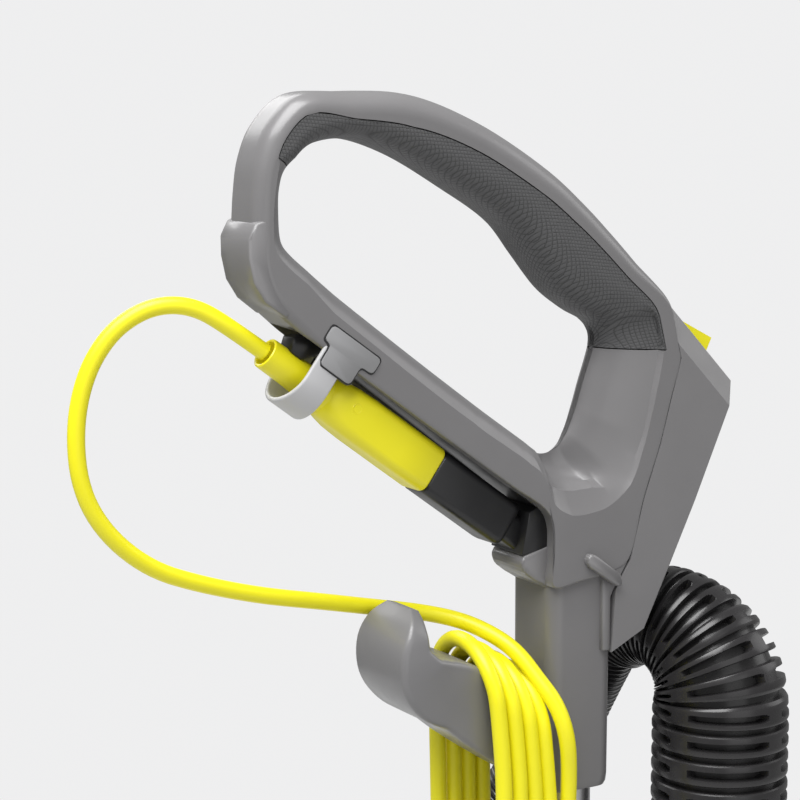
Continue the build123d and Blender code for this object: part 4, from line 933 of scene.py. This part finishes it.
def slotted_sleeve():
    """Broad bands parted by narrow grooves, with four bridged slots round the middle of each band."""
    fine = sleeve_line(1200)
    length = np.linalg.norm(np.diff(fine, axis=0), axis=1).sum()
    steps = np.linspace(0, length, len(fine))
    starts = [0.0]
    while starts[-1] < length:
        starts.append(starts[-1] + float(np.interp(starts[-1], *BAND_PITCH)))
    starts = [start * length / starts[-1] for start in starts]
    rings, around = [], 144
    tangents = np.gradient(fine, axis=0)
    tangents /= np.linalg.norm(tangents, axis=1)[:, None]
    u = np.array([-ARCH_WAY[1], ARCH_WAY[0], 0])

    def ring(at, radii):
        place = np.array([np.interp(at, steps, fine[:, k]) for k in range(3)])
        way = np.array([np.interp(at, steps, tangents[:, k]) for k in range(3)])
        v = np.cross(way / np.linalg.norm(way), u)
        angles = np.linspace(0, 2 * math.pi, around, endpoint=False)
        return [place + r * (math.cos(a) * u + math.sin(a) * v) for r, a in zip(radii, angles)]

    rings.append(ring(0, [HOSE_BORE] * around))
    for start, end in zip(starts, starts[1:]):
        for at, depth, cut in BAND:
            place = start + at * (end - start)
            crown = np.interp(place, *SLEEVE_R) - depth
            radii = []
            for j in range(around):
                off = abs((360 * j / around - SLOT_AT + SLOT_EVERY / 2) % SLOT_EVERY - SLOT_EVERY / 2)
                radii.append(crown - (SLOT_DEPTH if cut and off < SLOT_SPAN * cut else 0))
            rings.append(ring(place, radii))
    rings.append(ring(length, [HOSE_BORE] * around))
    return loft_rings("bend_sleeve", rings, HOSE_LOOK, close_ends=False, sharp=30)


bend_sleeve = slotted_sleeve()
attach(bend_sleeve, "upper")
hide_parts("hose_bend_sleeve")

# ---- tie round the hank -------------------------------------------------------------------------------
def tie_mesh():
    """A strap wrapped round the near runs of the hank, with its free end lying over itself."""
    mid_x, mid_y, thick = -25.2, 61.0, 1.1
    outline = rounded_rect(5.2, 20.4, 4.6, 6)
    rings = [[(mid_x + x + grow * np.sign(x), mid_y + y + grow * np.sign(y), z) for x, y in outline]
             for z, grow in ((600, 0.0), (600.4, 0.5), (619.6, 0.5), (620, 0.0),
                             (619.8, -thick), (600.2, -thick))]
    verts = [p for ring in rings for p in ring]
    strap = mesh_piece("strap", verts, grid_faces(len(rings), len(outline), True, True), STRAP_LOOK)
    end = plate("strap_end", [(48, 602), (72, 602), (73, 603), (73, 617), (72, 618), (48, 618)], -31.6, -30.7,
                STRAP_LOOK, bevel=0.3)
    return join("hank_tie", [strap, end])


hank_tie = tie_mesh()
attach(hank_tie, "upper")
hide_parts("cord_tie")

# ---- materials of the CAD pieces that stay ------------------------------------------------------------
LOOKS = {
    "head_front_cover": (COVER, 0.7), "cable_hook_lower": (SLEEVE_LOOK, 1.2),
    "power_switch": (ACCENT, 0.6), "switch_module": (BLACK, 0.5), "switch_pin": (STEEL, 0.2),
    "inlet_pins": (BRASS, 0.2), "mains_plug": (BLACK, 0.8), "plug_pins": (BRASS, 0.4),
    "stem_tube": (ALUMINIUM, 0.0), "tube_socket": (BLACK, 1.0), "body_housing": (BODY_LOOK, 0.6),
    "exhaust_grille": (BLACK, 0.4), "suction_motor": (PRESSED, 0.6), "motor_filter": (FILTER_LOOK, 0.6),
    "dust_bag": (BAG_LOOK, 0.0), "door_hinge_pin": (STEEL, 0.3), "bag_door": (DOOR_LOOK, 0.8),
    "door_latch": (ACCENT, 0.5), "hose_port_cuff": (BLACK, 0.8), "wand_cuff": (BLACK, 1.0),
    "suction_wand": (CHROME, 0.3), "wand_clips": (BLACK, 0.8), "accessory_holder": (BLACK, 1.0),
    "crevice_tool": (BLACK, 0.8), "pivot_yoke": (BLACK, 1.2), "base_chassis": (BLACK, 0.6),
    "base_cover": (BASE_LOOK, 0.8), "bumper": (RUBBER, 1.2), "pivot_pins": (STEEL, 0.6),
    "air_duct": (BLACK, 0.4),
    "brush_motor": (PRESSED, 0.8), "drive_belt": (RUBBER, 0.2), "roller_bearings": (STEEL, 0.3),
    "axles": (STEEL, 0.3), "brush_roller": (BLACK, 0.4), "brush_bristles": (BRISTLE_LOOK, 0.0),
    "motor_pulley": (STEEL, 0.3), "wheel_left": (BLACK, 0.6), "wheel_right": (BLACK, 0.6),
    "tyre_left": (TYRE, 1.0), "tyre_right": (TYRE, 1.0), "front_roller_left": (RUBBER, 0.8),
    "front_roller_right": (RUBBER, 0.8), "tilt_pedal": (ACCENT, 1.0), "height_knob": (ACCENT, 0.8),
    "fan_rotor": (CAST, 0.3),
}
for name, (material, width) in LOOKS.items():
    node = nodes[name]
    node.data.materials.clear()
    node.data.materials.append(material)
    if width:
        thin = node.modifiers.new("flat_faces", "DECIMATE")
        thin.decimate_type, thin.angle_limit = "DISSOLVE", math.radians(1)
        add_bevel(node, width, 3, 30)

# ---- floor, backdrop and lights -----------------------------------------------------------------------
FLOOR_LOOK = Look("floor", (0.22, 0.22, 0.221), 0.75, specular=0.1)
FLOOR_LOOK.shader.inputs["Emission Color"].default_value = (1, 1, 1, 1)
FLOOR_LOOK.shader.inputs["Emission Strength"].default_value = 0.62
FLOOR_LOOK.vary(0.7, 0.004)
FLOOR_LOOK.rough(3, 0.72, 0.78)
FLOOR_R = 2100.0
floor = mesh_piece("floor", [(FLOOR_R * math.cos(a), FLOOR_R * math.sin(a), -0.2)
                             for a in np.linspace(0, 2 * math.pi, 96, endpoint=False)],
                   [tuple(range(96))], FLOOR_LOOK.material, smooth=False)

world = bpy.data.worlds.new("studio")
world.use_nodes = True
tree = world.node_tree
seen, lit = tree.nodes["Background"], tree.nodes.new("ShaderNodeBackground")
seen.inputs["Color"].default_value = (0.86, 0.86, 0.865, 1)
lit.inputs["Color"].default_value = (1, 1, 1, 1)
lit.inputs["Strength"].default_value = 0.30
path, mix = tree.nodes.new("ShaderNodeLightPath"), tree.nodes.new("ShaderNodeMixShader")
tree.links.new(path.outputs["Is Camera Ray"], mix.inputs[0])
tree.links.new(lit.outputs[0], mix.inputs[1])
tree.links.new(seen.outputs[0], mix.inputs[2])
tree.links.new(mix.outputs[0], tree.nodes["World Output"].inputs["Surface"])
bpy.context.scene.world = world


def soft_light(name, place, aim, size, power):
    """A large soft studio light, in metres and watts."""
    light = bpy.data.lights.new(name, "AREA")
    light.shape, light.size, light.size_y, light.energy = "RECTANGLE", size[0], size[1], power
    obj = link(bpy.data.objects.new(name, light))
    obj.location = place
    obj.rotation_euler = (Vector(aim) - Vector(place)).to_track_quat("-Z", "Y").to_euler()
    return obj


AIM = (0, 0.1, 1.0)
soft_light("top_light", (-0.5, 0.9, 2.9), AIM, (1.8, 1.8), 88)
soft_light("fill_light", (-2.2, 0.2, 1.3), AIM, (1.6, 2.0), 7)
soft_light("front_light", (-0.6, -2.2, 1.9), AIM, (1.4, 1.4), 9)
soft_light("rim_light", (1.7, 0.2, 2.2), AIM, (1.2, 1.2), 13)
